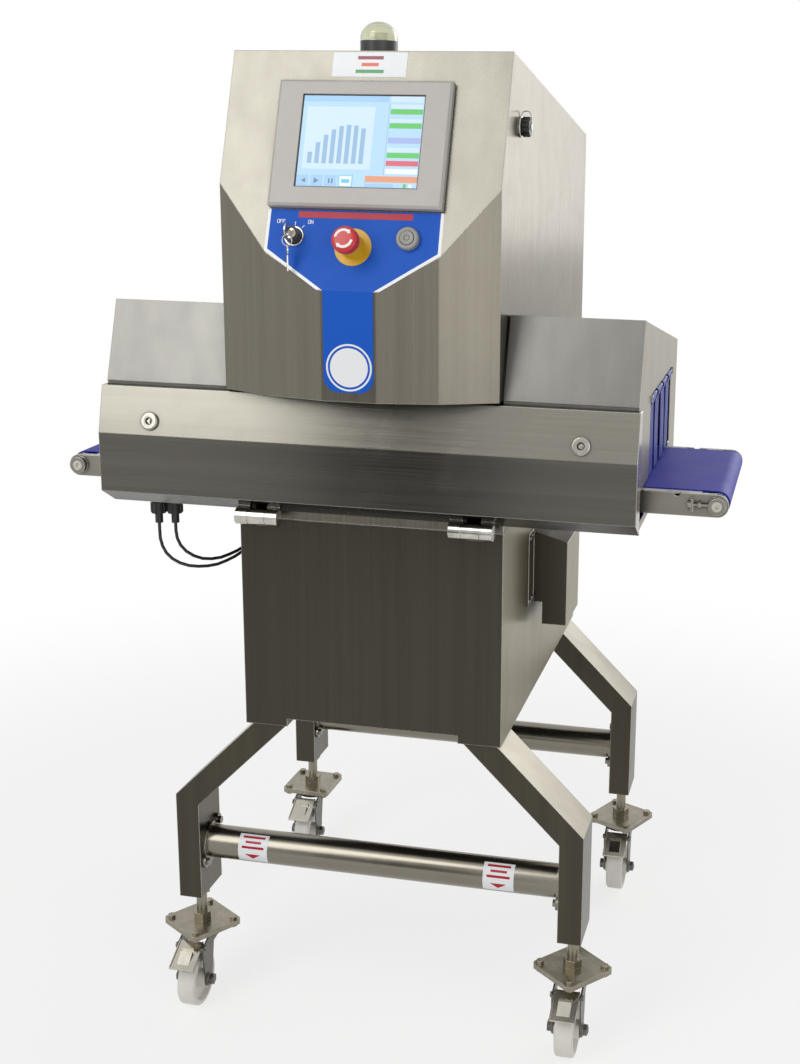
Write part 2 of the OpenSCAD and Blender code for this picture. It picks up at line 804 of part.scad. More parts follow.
// Wheel, turned about its axle
module caster_wheel(i) at_corner(i) color(nylon) translate([0, -trail, wheel_r]) rotate([0, 90, 0]) {
    hub = wheel_w / 2 + hub_extra;
    half = wheel_w / 2;
    inner = wheel_r - rim_in;
    rotate_extrude($fn = 96) polygon(concat(
        [[axle_r + run_gap, -hub], [hub_r, -hub], [hub_r, -web_t / 2], [inner, -web_t / 2], [inner, -half]],
        arc([wheel_r - tread_round, tread_round - half], tread_round, -90, 0, 6),
        arc([wheel_r - tread_round, half - tread_round], tread_round, 0, 90, 6),
        [[inner, half], [inner, web_t / 2], [hub_r, web_t / 2], [hub_r, hub], [axle_r + run_gap, hub]]));
}

module caster_wheel_front_left() caster_wheel(0);

module caster_wheel_front_right() caster_wheel(1);

module caster_wheel_rear_left() caster_wheel(2);

module caster_wheel_rear_right() caster_wheel(3);

// Brake pedal: a pressed tray with a tongue, a hub on its pivot and a shoe over the tread
module caster_brake(i) at_corner(i) color(bright) {
    half = fork_in - fork_gap;
    difference() {
        union() {
            translate([0, pivot_y, pivot_z]) rod_along_x(pedal_hub_r, -half, half);
            translate([0, pivot_y, pivot_z]) rotate([pedal_fall, 0, 0]) {
                difference() {
                    block([-half, -pedal_len, pedal_hub_r - pedal_t / 2],
                        [half, pedal_hub_r, pedal_hub_r + pedal_rim]);
                    block([pedal_rim_t - half, pedal_rim_t - pedal_len, pedal_hub_r + pedal_t / 2],
                        [half - pedal_rim_t, pedal_hub_r + over, pedal_hub_r + pedal_rim + over]);
                }
                prism_x([[-pedal_len + pedal_bar, pedal_hub_r], [-pedal_len / 3, pedal_hub_r],
                    [-pedal_len / 3, pedal_hub_r + 2 * pedal_rim]], -half / 2, half / 2);
                block([-half / 2, -pedal_len / 4, pedal_hub_r],
                    [half / 2, pedal_bar - pedal_len / 4, pedal_hub_r + pedal_rim + pedal_t]);
            }
            translate([0, pivot_y, pivot_z]) block([-half / 2, -shoe_l, 2 * wheel_r - pivot_z - shoe_l / 2],
                [half / 2, 0, 0]);
        }
        translate([0, pivot_y, pivot_z]) rod_along_x(pivot_r + run_gap, -half - over, half + over);
        translate([0, -trail, wheel_r]) rod_along_x(wheel_r + shoe_air, -half - over, half + over);
    }
}

module caster_brake_front_left() caster_brake(0);

module caster_brake_front_right() caster_brake(1);

module caster_brake_rear_left() caster_brake(2);

module caster_brake_rear_right() caster_brake(3);

// One tunnel on the side s: hood, floor, end wall, striker plate and curtain rod
module tunnel(s) placed() color(steel) mirror([s < 0 ? 1 : 0, 0, 0]) {
    end_x = tunnel_half - sheet;
    slot_z0 = plate_low_z - slot_under;
    slot_z1 = belt_z + slot_over;
    foot_z = floor_z + hood_foot_h;
    end_pts = [[floor_front_y, floor_z], [tunnel_rear_y, floor_z],
        [tunnel_rear_y, floor_z + hood_rear_h], [ridge_y, floor_z + ridge_h],
        [tunnel_front_y, foot_z], [front_edge_y, foot_z], [front_edge_y, slot_z1],
        [floor_front_y, slot_z1]];
    difference() {
        prism_x(hood_pts, hood_x, end_x);
        prism_x(inset(hood_pts, sheet), hood_x - over, end_x + over);
        block([hood_x - over, tunnel_front_y - over, floor_z + sheet],
            [end_x + over, floor_front_y + sheet + over, foot_z]);
    }
    difference() {
        prism_x(end_pts, end_x, tunnel_half);
        block([end_x - over, front_edge_y - over, slot_z0],
            [tunnel_half + over, conv_far_y + slot_over, slot_z1]);
        block([end_x - over, opening_y, slot_z1 - over],
            [tunnel_half + over, opening_y + opening_w, opening_z]);
    }
    block([end_x - front_flange_w + sheet, front_edge_y, slot_z1],
        [end_x + over, front_edge_y + sheet, foot_z]);
    block([hood_x, front_edge_y, foot_z - hood_return],
        [end_x + over, front_edge_y + sheet, foot_z + sheet]);
    block([head_w / 2 - floor_lip, cab_front_y, floor_z],
        [hood_x + over, tunnel_rear_y, floor_z + sheet]);
    translate([lock_x, 0, striker_hole_z]) difference() {
        union() {
            translate([-striker_w / 2, 0, floor_z + striker_z - striker_hole_z])
                block([0, front_edge_y, 0], [tunnel_half - lock_x + striker_w / 2 - sheet / 2,
                    front_edge_y + sheet, striker_h]);
            rod_along_y(receptacle_r, front_edge_y, front_edge_y + sheet + receptacle_h);
        }
        rod_along_y(lock_stud_r + receptacle_room, front_edge_y - over,
            front_edge_y + sheet + receptacle_h + over);
    }
    curtain_z = opening_z - rod_drop;
    for (y = [opening_y - cheek_t, opening_y + opening_w])
        block([rod_x - cheek_w / 2, y, curtain_z - cheek_w / 2],
            [rod_x + cheek_w / 2, y + cheek_t, opening_z]);
    translate([rod_x, 0, curtain_z]) rod_along_y(rod_r, opening_y - cheek_t / 2,
        opening_y + opening_w + cheek_t / 2);
}

module inlet_tunnel() tunnel(-1);

module outlet_tunnel() tunnel(1);

// One curtain strip on the side s, counted from the front
module strip(s, n) placed() color(blue) mirror([s < 0 ? 1 : 0, 0, 0])
    translate([rod_x, opening_y + strip_air + (n - 1) * strip_pitch, opening_z - rod_drop]) difference() {
        union() {
            rod_along_y(loop_r, 0, strip_w);
            block([-strip_t / 2, 0, belt_z + strip_air - opening_z + rod_drop], [strip_t / 2, strip_w, 0]);
        }
        rod_along_y(rod_r + run_gap, -over, strip_w + over);
    }

module curtain_in_1() strip(-1, 1);

module curtain_in_2() strip(-1, 2);

module curtain_in_3() strip(-1, 3);

module curtain_in_4() strip(-1, 4);

module curtain_out_1() strip(1, 1);

module curtain_out_2() strip(1, 2);

module curtain_out_3() strip(1, 3);

module curtain_out_4() strip(1, 4);

module lock_place() both_sides() translate([lock_x, lock_y, lock_z])
    rotate([90 - lock_tilt, 0, 0]) children();

module cover_hinge_places() both_sides() translate([hinge_x, hinge_y, cover_hinge_z]) children();

// Bent front cover with end caps, lock holes and hinge leaves
module access_cover() placed() color(steel) {
    cover_x = tunnel_half + cover_side;
    axis = [hinge_y, cover_hinge_z];
    dir = unit(cover_pts[4] - cover_pts[3]);
    reach = (cover_pts[3] - axis) * left(dir);
    side = (hinge_w - hinge_mid_w) / 2 - free_gap;
    web = [for (p = [[-1, 0], [1, 0], [1, 1], [-1, 1]])
        p.x * dir * hinge_web / 2 + p.y * left(dir) * (reach + sheet / 2)];
    difference() {
        union() {
            prism_x(band(cover_pts, sheet), -cover_x, cover_x);
            both_sides() prism_x(concat([[cover_cap_y, floor_z + cover_top_h]],
                [for (i = [1 : 4]) cover_pts[i]], [[cover_cap_y, floor_z + cover_low_h]]),
                cover_x - sheet, cover_x);
        }
        lock_place() translate([0, 0, -2 * sheet]) cylinder(r = lock_body_r + bolt_gap, h = 4 * sheet);
    }
    cover_hinge_places() for (x = [-hinge_w / 2, hinge_mid_w / 2 + free_gap]) difference() {
        union() {
            rod_along_x(hinge_r, x, x + side);
            prism_x(web, x, x + side);
        }
        rod_along_x(hinge_pin_r + run_gap, x - over, x + side + over);
    }
}

// Fixed hinge blocks and pins of the front cover and of the rear door
module hinge_blocks() placed() color(bright) {
    half = hinge_mid_w / 2;
    cover_hinge_places() {
        rod_along_x(hinge_r, -half, half);
        rod_along_x(hinge_pin_r, -hinge_w / 2, hinge_w / 2);
        block([-half, 0, -hinge_r], [half, cab_front_y - hinge_y, hinge_arm_h - hinge_r]);
        block([-half, cab_front_y - hinge_y - hinge_foot_t, hinge_arm_h - hinge_r - hinge_foot_h],
            [half, cab_front_y - hinge_y, hinge_arm_h - hinge_r]);
    }
    door_hinge_places() {
        translate([0, 0, door_hinge_l / 2]) cylinder(r = door_hinge_r, h = door_hinge_l / 2);
        cylinder(r = door_pin_r, h = door_hinge_l);
        block([-door_leaf_t / 2, cab_rear_y - door_axis_y, door_hinge_l / 2],
            [door_leaf_t / 2, 0, door_hinge_l]);
    }
}

// Lock bodies through the front cover, each with its nut behind the sheet
module cover_locks() placed() color(bright) lock_place() difference() {
    union() {
        rotate_extrude() polygon(concat([[0, 0], [lock_ring_r, 0]],
            arc([lock_ring_r - lock_ring_h / 2, lock_ring_h / 2], lock_ring_h / 2, 0, 90, 5),
            [[0, lock_ring_h]]));
        rod_along_z(lock_body_r, -lock_body_l, 0);
        translate([0, 0, -sheet - lock_nut_h]) hex(lock_nut_af, lock_nut_h);
    }
    rod_along_z(lock_insert_r + run_gap, lock_ring_h - lock_insert_l, lock_ring_h + over);
    rod_along_z(lock_stud_r + free_gap, -lock_body_l - over, over);
}

// Quarter-turn insert with its drive socket and its stud
module lock_rotor(s) placed() color(bright) mirror([s < 0 ? 1 : 0, 0, 0])
    translate([lock_x, lock_y, lock_z]) rotate([90 - lock_tilt, 0, 0]) {
        difference() {
            union() {
                rod_along_z(lock_insert_r, lock_ring_h - lock_insert_l + free_gap, lock_ring_h - over);
                rod_along_z(lock_stud_r, -lock_stud_l, 0);
            }
            translate([0, 0, lock_ring_h - over - lock_socket_d])
                rotate_extrude() square([lock_socket_af * sqrt(2) / 2, lock_socket_d + over]);
        }
        translate([0, 0, lock_ring_h - over - lock_socket_d - run_gap])
            prism_z([for (a = [0, 120, 240]) lock_stud_r * [cos(a), sin(a)]], 0, lock_socket_d);
    }

module lock_rotor_left() lock_rotor(-1);

module lock_rotor_right() lock_rotor(1);

// Side plates, cross bars, feet, bearings and belt adjusters
module conveyor_frame() placed() {
    plate_h = plate_top_z - plate_low_z;
    plate_mid = (plate_top_z + plate_low_z) / 2;
    color(steel) for (y = [conv_y, conv_far_y - side_t]) difference() {
        union() {
            block([-drive_x, y, plate_low_z], [tail_x, y + side_t, plate_top_z]);
            for (x = [-drive_x, tail_x])
                translate([x, 0, plate_mid]) rod_along_y(plate_h / 2, y, y + side_t);
        }
        for (x = [-drive_x, tail_x]) translate([x, 0, roller_axis_z])
            rod_along_y(journal_r + run_gap, y - over, y + side_t + over);
        for (x = [drive_x - bed_notch_x[0], bed_notch_x[0] - tail_x])
            translate([-x, 0, plate_top_z - over]) rod_along_y(plate_notch_r, y - over, y + side_t + over);
    }
    color(steel) for (x = [-cross_x, cross_x])
        block([x - cross_w / 2, conv_y + side_t / 2, bed_z - bed_t - cross_h],
            [x + cross_w / 2, conv_far_y - side_t / 2, bed_z - bed_t]);
    color(steel) for (x = [-foot_x, foot_x]) for (y = [conv_y, conv_far_y - side_t])
        block([x - foot_l / 2, y + (side_t - foot_w) / 2, floor_z + sheet],
            [x + foot_l / 2, y + (side_t + foot_w) / 2, plate_low_z + foot_up]);
    color(bright) for (x = [-drive_x, tail_x]) translate([x, 0, roller_axis_z]) difference() {
        union() {
            rod_along_y(bearing_r, conv_y - bearing_h, conv_y);
            rod_along_y(bearing_r, conv_far_y, conv_far_y + bearing_h);
        }
        rod_along_y(journal_r + run_gap, conv_y - bearing_h - over, conv_far_y + bearing_h + over);
    }
    color(bright) for (y = [conv_y - adjust_w, conv_far_y])
        translate([tail_x - bearing_r, y + adjust_w / 2, roller_axis_z]) {
            rod_along_x(adjust_rod_r, -adjust_rod_l, over);
            for (x = [-adjust_rod_l, -adjust_rod_l / 2]) translate([x, 0, 0]) rotate([0, 90, 0])
                hex(adjust_nut_af, adjust_nut_h);
            block([-adjust_rod_l + adjust_nut_h, -adjust_w / 2, -adjust_h / 2],
                [-adjust_rod_l + 2 * adjust_nut_h, adjust_w / 2, adjust_h / 2]);
        }
}

// Slide bed under the carrying run, notched along both edges
module slider_bed() placed() color(white) difference() {
    union() {
        block([bed_in - drive_x, conv_y + side_t, bed_z - bed_t],
            [tail_x - bed_in, conv_far_y - side_t, bed_z]);
        for (y = [conv_y + side_t, conv_far_y - side_t - roller_out + free_gap])
            block([bed_tip - drive_x, y, bed_z - bed_t],
                [tail_x - bed_tip, y + roller_out - free_gap, bed_z]);
    }
    for (i = [0, 1]) for (x = [bed_notch_x[i] - drive_x, tail_x - bed_notch_x[i]])
        for (y = [conv_y + side_t - over, conv_far_y - side_t - bed_notch_d])
            block([x - bed_notch_w[i] / 2, y, bed_z - bed_t - over],
                [x + bed_notch_w[i] / 2, y + bed_notch_d + over, bed_z + over]);
    block([-beam_w / 2, beam_y, bed_z - bed_t - over], [beam_w / 2, beam_y + beam_l, bed_z + over]);
}

// Endless belt, an outline with round ends
module belt_loop(r) for (x = [-drive_x, tail_x]) translate([x, 0, roller_axis_z]) rod_along_y(r, 0, belt_w);

module conveyor_belt() placed() color(blue) translate([0, belt_y, 0]) {
    inner = roller_r + belt_air;
    outer = inner + belt_t;
    difference() {
        union() {
            belt_loop(outer);
            block([-drive_x, 0, roller_axis_z - outer], [tail_x, belt_w, roller_axis_z + outer]);
        }
        translate([0, -over, 0]) for (x = [-drive_x, tail_x]) translate([x, 0, roller_axis_z])
            rod_along_y(inner, 0, belt_w + 2 * over);
        block([-drive_x, -over, roller_axis_z - inner], [tail_x, belt_w + over, roller_axis_z + inner]);
    }
}

module roller(x) placed() color(bright) translate([x, 0, roller_axis_z]) difference() {
    union() {
        rod_along_y(roller_r, conv_y + side_t + roller_out, conv_far_y - side_t - roller_out);
        rod_along_y(journal_r, conv_y - bearing_h, conv_far_y + bearing_h);
    }
    rod_along_y(shaft_hole_r, conv_y - bearing_h - over, conv_y - bearing_h + shaft_hole_d);
}

module drive_drum() roller(-drive_x);

module tail_roller() roller(tail_x);

// Sloped head, the neck behind the tunnel and the base under it, one welded shell
module head_shell() placed() color(steel) difference() {
    union() {
        intersection() {
            prism_z(plan_pts, head_z, head_z + head_top_h);
            prism_x(profile_pts, -head_w / 2, head_w / 2);
        }
        block([-head_w / 2, neck_y, cab_top_z], [head_w / 2, head_d, head_z + sheet]);
        block([-head_w / 2, cab_front_y, cab_top_z], [head_w / 2, head_d, floor_z]);
    }
    intersection() {
        prism_z(inset(plan_pts, sheet), head_z + sheet, head_z + head_top_h);
        prism_x(inset(profile_pts, sheet), -head_w / 2, head_w / 2);
    }
    block([sheet - head_w / 2, neck_y + sheet, cab_top_z - over],
        [head_w / 2 - sheet, head_d - sheet, head_z + 2 * sheet]);
    block([sheet - head_w / 2, cab_front_y + sheet, cab_top_z - over],
        [head_w / 2 - sheet, neck_y + 2 * sheet, floor_z - sheet]);
    block([-beam_w / 2, beam_y, head_z - over], [beam_w / 2, beam_y + beam_l, head_z + sheet + over]);
    on_slope(0, display_h) translate([0, screen_up, 0])
        block([-cav_w / 2, -cav_h / 2, -2 * sheet], [cav_w / 2, cav_h / 2, over]);
    for (p = [[key_x, controls_h], [start_x, controls_h], [estop_x, estop_h]])
        on_slope(p.x, p.y) rod_along_z(button_hole_r + button_gap, -2 * sheet, sheet);
    port_place() rod_along_x(port_neck_r + button_gap, -2 * sheet, over);
    beacon_place() rod_along_z(beacon_stem_r + button_gap, -beacon_stem_l, beacon_stem_l);
}

module port_place() translate([head_w / 2, port_y, head_z + port_h]) children();

module beacon_place()
    translate([0, beacon_y, head_z + head_top_h - roof_fall * (beacon_y - top_y)]) children();

// Display surround with bevelled edges
module display_bezel() placed() color("#8d8781") on_slope(0, display_h) difference() {
    intersection() {
        prism_y(chamfered(bezel_w, display_t, display_bevel), -bezel_h / 2, bezel_h / 2);
        prism_x(chamfered(bezel_h, display_t, display_bevel), -bezel_w / 2, bezel_w / 2);
    }
    translate([0, screen_up, 0]) {
        block([-screen_w / 2, -screen_h / 2, 0], [screen_w / 2, screen_h / 2, display_t + over]);
        block([-cav_w / 2, -cav_h / 2, -over], [cav_w / 2, cav_h / 2, display_t - screen_drop]);
    }
}

module touch_screen() placed() color("#a9c7de") on_slope(0, display_h)
    translate([0, screen_up, 0]) block([button_gap - cav_w / 2, button_gap - cav_h / 2, -module_back],
        [cav_w / 2 - button_gap, cav_h / 2 - button_gap, display_t - screen_drop]);

// Rear body of a panel control: neck through the panel and contact block behind it
module contact_body(depth) {
    rod_along_z(button_hole_r, -contact_neck, 0);
    block([-contact_w / 2, -contact_w / 2, -contact_neck - depth],
        [contact_w / 2, contact_w / 2, -contact_neck]);
}

// Everything fixed on the control panel: stop plate and collar, key barrel, start ring
module control_collars() placed() {
    color("#f0b81f") on_slope(estop_x, estop_h) difference() {
        union() {
            cylinder(r = estop_plate_r, h = estop_plate_t);
            rotate_extrude() polygon([[0, 0], [estop_collar_r, 0], [estop_collar_r, estop_plate_t],
                [estop_neck_r, estop_plate_t + estop_collar_h], [0, estop_plate_t + estop_collar_h]]);
        }
        rod_along_z(estop_stem_r + run_gap, -over, estop_plate_t + estop_collar_h + over);
    }
    color(black) on_slope(estop_x, estop_h) difference() {
        contact_body(contact_h);
        rod_along_z(estop_stem_r + run_gap, -contact_neck - estop_travel - over, over);
    }
    color(bright) on_slope(key_x, controls_h) difference() {
        union() {
            cylinder(r = key_ring_r, h = key_ring_h);
            cylinder(r = key_barrel_r, h = key_barrel_h);
            contact_body(contact_h);
        }
        rod_along_z(key_core_r + run_gap, key_barrel_h - key_core_l, key_barrel_h + over);
    }
    color("#b9b4ad") on_slope(start_x, controls_h) difference() {
        union() {
            rotate_extrude() polygon(concat([[0, 0], [start_ring_r, 0]],
                arc([start_ring_r - start_round, start_ring_h - start_round], start_round, 0, 90, 5),
                [[0, start_ring_h]]));
            contact_body(contact_h);
        }
        rod_along_z(start_r + slide_gap, start_ring_h + start_show - start_l - start_travel - free_gap,
            start_ring_h + over);
    }
}

// Red mushroom button and its stem
module estop_button() placed() color("#d3252b") on_slope(estop_x, estop_h) {
    r = estop_d / 2;
    rotate_extrude() polygon(concat([[0, estop_z0], [r - estop_round / 2, estop_z0],
        [r, estop_z0 + estop_round / 2]],
        arc([r - estop_round, estop_top - estop_round], estop_round, 0, 90, 8), [[0, estop_top]]));
    rod_along_z(estop_stem_r, -contact_neck, estop_z0 + over);
}

// Lock core with the key in its slot
module mode_key() placed() color(bright) on_slope(key_x, controls_h) {
    face = key_barrel_h + key_core_show;
    difference() {
        rod_along_z(key_core_r, key_barrel_h - key_core_l + free_gap, face);
        block([-key_t / 2 - bolt_gap, -key_w / 2 - bolt_gap, face - key_in],
            [key_t / 2 + bolt_gap, key_w / 2 + bolt_gap, face + over]);
    }
    difference() {
        union() {
            block([-key_t / 2, -key_w / 2, face - key_in], [key_t / 2, key_w / 2, face + key_neck]);
            translate([0, 0, face + key_neck + key_bow_r - over])
                rod_along_x(key_bow_r, -key_t / 2, key_t / 2);
        }
        key_hole_place() rod_along_x(key_hole_r, -key_t, key_t);
    }
}

// The bow's hole, at the bow's lower outer edge
module key_hole_place() translate([0, 0, key_barrel_h + key_core_show + key_neck + key_bow_r - over])
    rotate([slope_tilt, 0, 0]) translate([0, key_hole_out - key_bow_r, 0]) children();

// Split ring through the bow and the second key that hangs on it
module spare_key() placed() color(bright) on_slope(key_x, controls_h) key_hole_place() rotate([-90, 0, 0]) {
    drop = key_hole_r - wire_r - key_lap;
    translate([0, 0, -ring_r - drop]) rotate([90, 0, 0])
        rotate_extrude() translate([ring_r, 0]) circle(wire_r, $fn = 16);
    translate([0, 0, -2 * ring_r - 2 * drop]) rotate(spare_turn) difference() {
        union() {
            translate([0, 0, key_hole_out - spare_bow_r]) rod_along_x(spare_bow_r, -key_t / 2, key_t / 2);
            block([-key_t / 2, -spare_blade_w / 2, key_hole_out - 2 * spare_bow_r - spare_blade_l],
                [key_t / 2, spare_blade_w / 2, key_hole_out - 2 * spare_bow_r + over]);
        }
        rod_along_x(key_hole_r, -key_t, key_t);
    }
}

module start_button() placed() color("#c9c6c0") on_slope(start_x, controls_h)
    rod_along_z(start_r, start_ring_h + start_show - start_l, start_ring_h + start_show);

// Beacon base, cut to the roof's fall, with its stem and lamp
module beacon_base() placed() color(black) beacon_place() difference() {
    union() {
        rod_along_z(beacon_d / 2, -beacon_d * roof_fall, beacon_base_h);
        rod_along_z(beacon_stem_r, -beacon_stem_l, over);
        cylinder(r = lamp_r, h = beacon_base_h + lamp_h);
    }
    difference() {
        prism_x([[-beacon_d, beacon_d * roof_fall - beacon_d], [beacon_d, -2 * beacon_d],
            [beacon_d, -beacon_d * roof_fall], [-beacon_d, beacon_d * roof_fall]], -beacon_d, beacon_d);
        rod_along_z(beacon_stem_r, -beacon_d, beacon_d);
    }
}

function dome(r, h) = concat([[r, 0]], [for (i = [0 : 8]) let (a = 90 * i / 8)
    [r * cos(a), dome_straight + (h - dome_straight) * sin(a)]]);
function reversed(list) = [for (i = [len(list) - 1 : -1 : 0]) list[i]];

// Clear dome over the lamp
module beacon_lens() placed() color("#d8d9bd", 0.6) beacon_place() translate([0, 0, beacon_base_h])
    rotate_extrude() polygon(concat(dome(beacon_d / 2, dome_h),
        reversed(dome(beacon_d / 2 - beacon_wall, dome_h - beacon_wall))));

// Service port: flange, hollow neck and the wire that keeps its cap
module port_socket() placed() port_place() rotate([0, 90, 0]) {
    color(bright) difference() {
        union() {
            cylinder(r = port_flange_r, h = port_flange_h);
            rod_along_z(port_neck_r, -2 * sheet, port_neck_h);
        }
        rod_along_z(port_neck_r - sheet, over, port_neck_h + over);
    }
    foot_z = port_flange_h - tether_r;
    end_z = port_neck_h + cap_air + cap_end + free_gap + tether_r;
    turn_x = cap_r + tether_out;
    color(bright) rotate(180) {
        translate([0, 0, foot_z]) rod_along_x(tether_r, port_flange_r - tether_r, turn_x);
        translate([turn_x, 0, 0]) rod_along_z(tether_r, foot_z - tether_r, end_z + tether_r);
        translate([0, 0, end_z]) rod_along_x(tether_r, -tether_in, turn_x);
    }
}

module port_cap() placed() color(black) port_place() rotate([0, 90, 0])
    translate([0, 0, port_flange_h + cap_air]) difference() {
        h = port_neck_h - port_flange_h + cap_end;
        union() {
            cylinder(r = cap_r, h = h);
            for (i = [1 : cap_rib_n]) rotate(360 * i / cap_rib_n)
                translate([cap_r, 0, 0]) cylinder(r = cap_rib_r, h = h - over);
        }
        rod_along_z(port_neck_r + run_gap, -over, port_neck_h - port_flange_h);
    }

// Generator tank over the beam slot, with cooling fins behind
module xray_generator() placed() color("#8c9096") {
    z0 = head_z + sheet;
    z1 = z0 + snout_h;
    y1 = beam_y + generator_d;
    fin_span = generator_w - 2 * fin_h;
    block([-generator_w / 2, beam_y, z1], [generator_w / 2, y1, z1 + generator_h]);
    block([-snout_w / 2, beam_y, z0], [snout_w / 2, beam_y + beam_l, z1 + over]);
    for (i = [0 : fin_n - 1]) translate([fin_span * i / (fin_n - 1) - fin_span / 2, 0, 0])
        block([-fin_t / 2, y1 - over, z1], [fin_t / 2, y1 + fin_h, z1 + generator_h - fin_h]);
}

// Line detector under the belt, with a raised end box
module detector() placed() color(dark) {
    block([-detector_w / 2, conv_y, floor_z], [detector_w / 2, conv_far_y, floor_z + detector_h]);
    block([-detector_w, conv_far_y, floor_z],
        [detector_w, conv_far_y + 2 * detector_end, floor_z + detector_h + detector_end]);
}

// Electrical plate standing in the cabinet, with its rails and units
module control_plate() placed() color("#9c9e9b")
    translate([0, cab_front_y + panel_y, cab_floor_z + sheet]) {
        half = cab_w / 2 - panel_in;
        front = panel_t + rail_t;
        block([-half, 0, 0], [half, panel_t, panel_h]);
        for (z = UNIT_Z) {
            block([-half + panel_in, panel_t, z - rail_h / 2], [half - panel_in, front, z + rail_h / 2]);
            for (u = UNITS) block([u[0], front, z - u[2] / 2], [u[0] + u[1], front + u[3], z + u[2] / 2]);
        }
    }

// Round connectors under the inlet tunnel, and the two glands on the cabinet
module connectors() placed() color(black) {
    nut_z = conn_flange_h + conn_body_h;
    for (p = CONNECTORS) translate([p.x, p.y, floor_z]) rotate([180, 0, 0]) {
        rotate_extrude() polygon([[0, 0], [conn_flange_r, 0], [conn_flange_r, conn_flange_h],
            [conn_body_r, conn_flange_h], [conn_body_r, nut_z], [conn_nut_r, nut_z],
            [conn_nut_r, nut_z + conn_nut_h], [boot_r, nut_z + conn_nut_h],
            [boot_r, nut_z + conn_nut_h + boot_h], [0, nut_z + conn_nut_h + boot_h]]);
        for (i = [1 : conn_rib_n]) rotate(360 * (i + 0.5) / conn_rib_n) translate([conn_nut_r, 0, 0])
            rod_along_z(conn_rib_r, nut_z + conn_rib_r, nut_z + conn_nut_h - conn_rib_r);
    }
    for (route = [FRONT_ROUTE, REAR_ROUTE]) translate([-cab_w / 2, last(route).y, floor_z + last(route).z]) {
        rod_along_x(gland_r, -gland_l, 0);
        translate([-gland_nut_h, 0, 0]) rotate([0, 90, 0]) hex(gland_nut_af, gland_nut_h);
    }
}

// Cables: a ring of sides at each point of the route
function ring_at(p, i, r, sides) = let (n = len(p) - 1,
    t = unit(p[min(i + 1, n)] - p[max(i - 1, 0)]), u = unit(cross(t, [0, 1, 0])), v = cross(t, u))
    [for (k = [0 : sides - 1]) p[i] + r * (u * cos(360 * k / sides) + v * sin(360 * k / sides))];

module sweep(p, r, sides) {
    n = len(p);
    points = [for (i = [0 : n - 1]) for (q = ring_at(p, i, r, sides)) q];
    walls = [for (i = [0 : n - 2]) for (k = [0 : sides - 1])
        let (a = i * sides + k, b = i * sides + (k + 1) % sides)
            for (f = [[a, b, b + sides], [a, b + sides, a + sides]]) f];
    ends = [[for (k = [sides - 1 : -1 : 0]) k], [for (k = [0 : sides - 1]) (n - 1) * sides + k]];
    polyhedron(points, concat(walls, ends));
}

module cable_front() placed() color(black) translate([0, 0, floor_z]) sweep(FRONT_ROUTE, cable_r, cable_sides);

module cable_rear() placed() color(black) translate([0, 0, floor_z]) sweep(REAR_ROUTE, cable_r, cable_sides);

cabinet_shell();
rear_door();
rear_lock_rotor();
side_cover();
leg_front_left();
leg_front_right();
leg_rear_left();
leg_rear_right();
fork_tubes();
caster_mounts();
caster_fork_front_left();
caster_fork_front_right();
caster_fork_rear_left();
caster_fork_rear_right();
caster_wheel_front_left();
caster_wheel_front_right();
caster_wheel_rear_left();
caster_wheel_rear_right();
caster_brake_front_left();
caster_brake_front_right();
caster_brake_rear_left();
caster_brake_rear_right();
inlet_tunnel();
outlet_tunnel();
curtain_in_1();
curtain_in_2();
curtain_in_3();
curtain_in_4();
curtain_out_1();
curtain_out_2();
curtain_out_3();
curtain_out_4();
access_cover();
hinge_blocks();
cover_locks();
lock_rotor_left();
lock_rotor_right();
conveyor_frame();
slider_bed();
conveyor_belt();
drive_drum();
tail_roller();
head_shell();
display_bezel();
touch_screen();
control_collars();
estop_button();
mode_key();
spare_key();
start_button();
beacon_base();
beacon_lens();
port_socket();
port_cap();
xray_generator();
detector();
control_plate();
connectors();
cable_front();
cable_rear();
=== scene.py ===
# %% [markdown]
# # A food x-ray inspection machine
# This notebook dresses a finished CAD model in Blender. The machine carries food through a shielded tunnel on a
# belt, looks at it with x-rays and shows the result on a screen. The CAD model already has every piece in its place,
# so the first cell loads it as a fixed frame, and each later cell adds a finish, a label or a soft piece to it.

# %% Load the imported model
import math

import bmesh
import bpy
from mathutils import Matrix, Vector


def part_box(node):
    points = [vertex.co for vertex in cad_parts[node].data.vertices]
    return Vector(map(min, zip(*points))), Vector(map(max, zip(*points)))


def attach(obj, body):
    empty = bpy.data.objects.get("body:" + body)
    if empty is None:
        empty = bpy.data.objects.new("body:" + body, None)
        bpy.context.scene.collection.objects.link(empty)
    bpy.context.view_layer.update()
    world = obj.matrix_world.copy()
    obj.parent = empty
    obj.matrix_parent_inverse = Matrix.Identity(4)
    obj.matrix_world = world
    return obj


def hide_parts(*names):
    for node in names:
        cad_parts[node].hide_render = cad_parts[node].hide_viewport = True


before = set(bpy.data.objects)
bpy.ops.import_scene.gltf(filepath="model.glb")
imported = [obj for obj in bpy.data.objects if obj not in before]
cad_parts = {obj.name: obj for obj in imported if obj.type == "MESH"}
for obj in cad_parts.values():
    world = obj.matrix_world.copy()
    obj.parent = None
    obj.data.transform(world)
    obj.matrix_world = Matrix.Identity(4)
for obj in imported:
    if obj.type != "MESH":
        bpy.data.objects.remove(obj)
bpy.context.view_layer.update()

# %% [markdown]
# ## Places on the machine
# The maker's drawing measures in millimetres from the middle of the cabinet, at floor level. Blender works in metres
# from the middle of the whole machine. One function turns a drawing place into a Blender place. It takes the offset
# between the two from the head: its sides are 230 mm from the drawing's middle, its back at 780 mm and its top edge
# at 1725.5 mm. A small part is easier to draw in its own three directions, so a second function makes a place function
# for it. Three more small ones serve all later cells: a new object in the scene, a mesh, and the corners of a box.

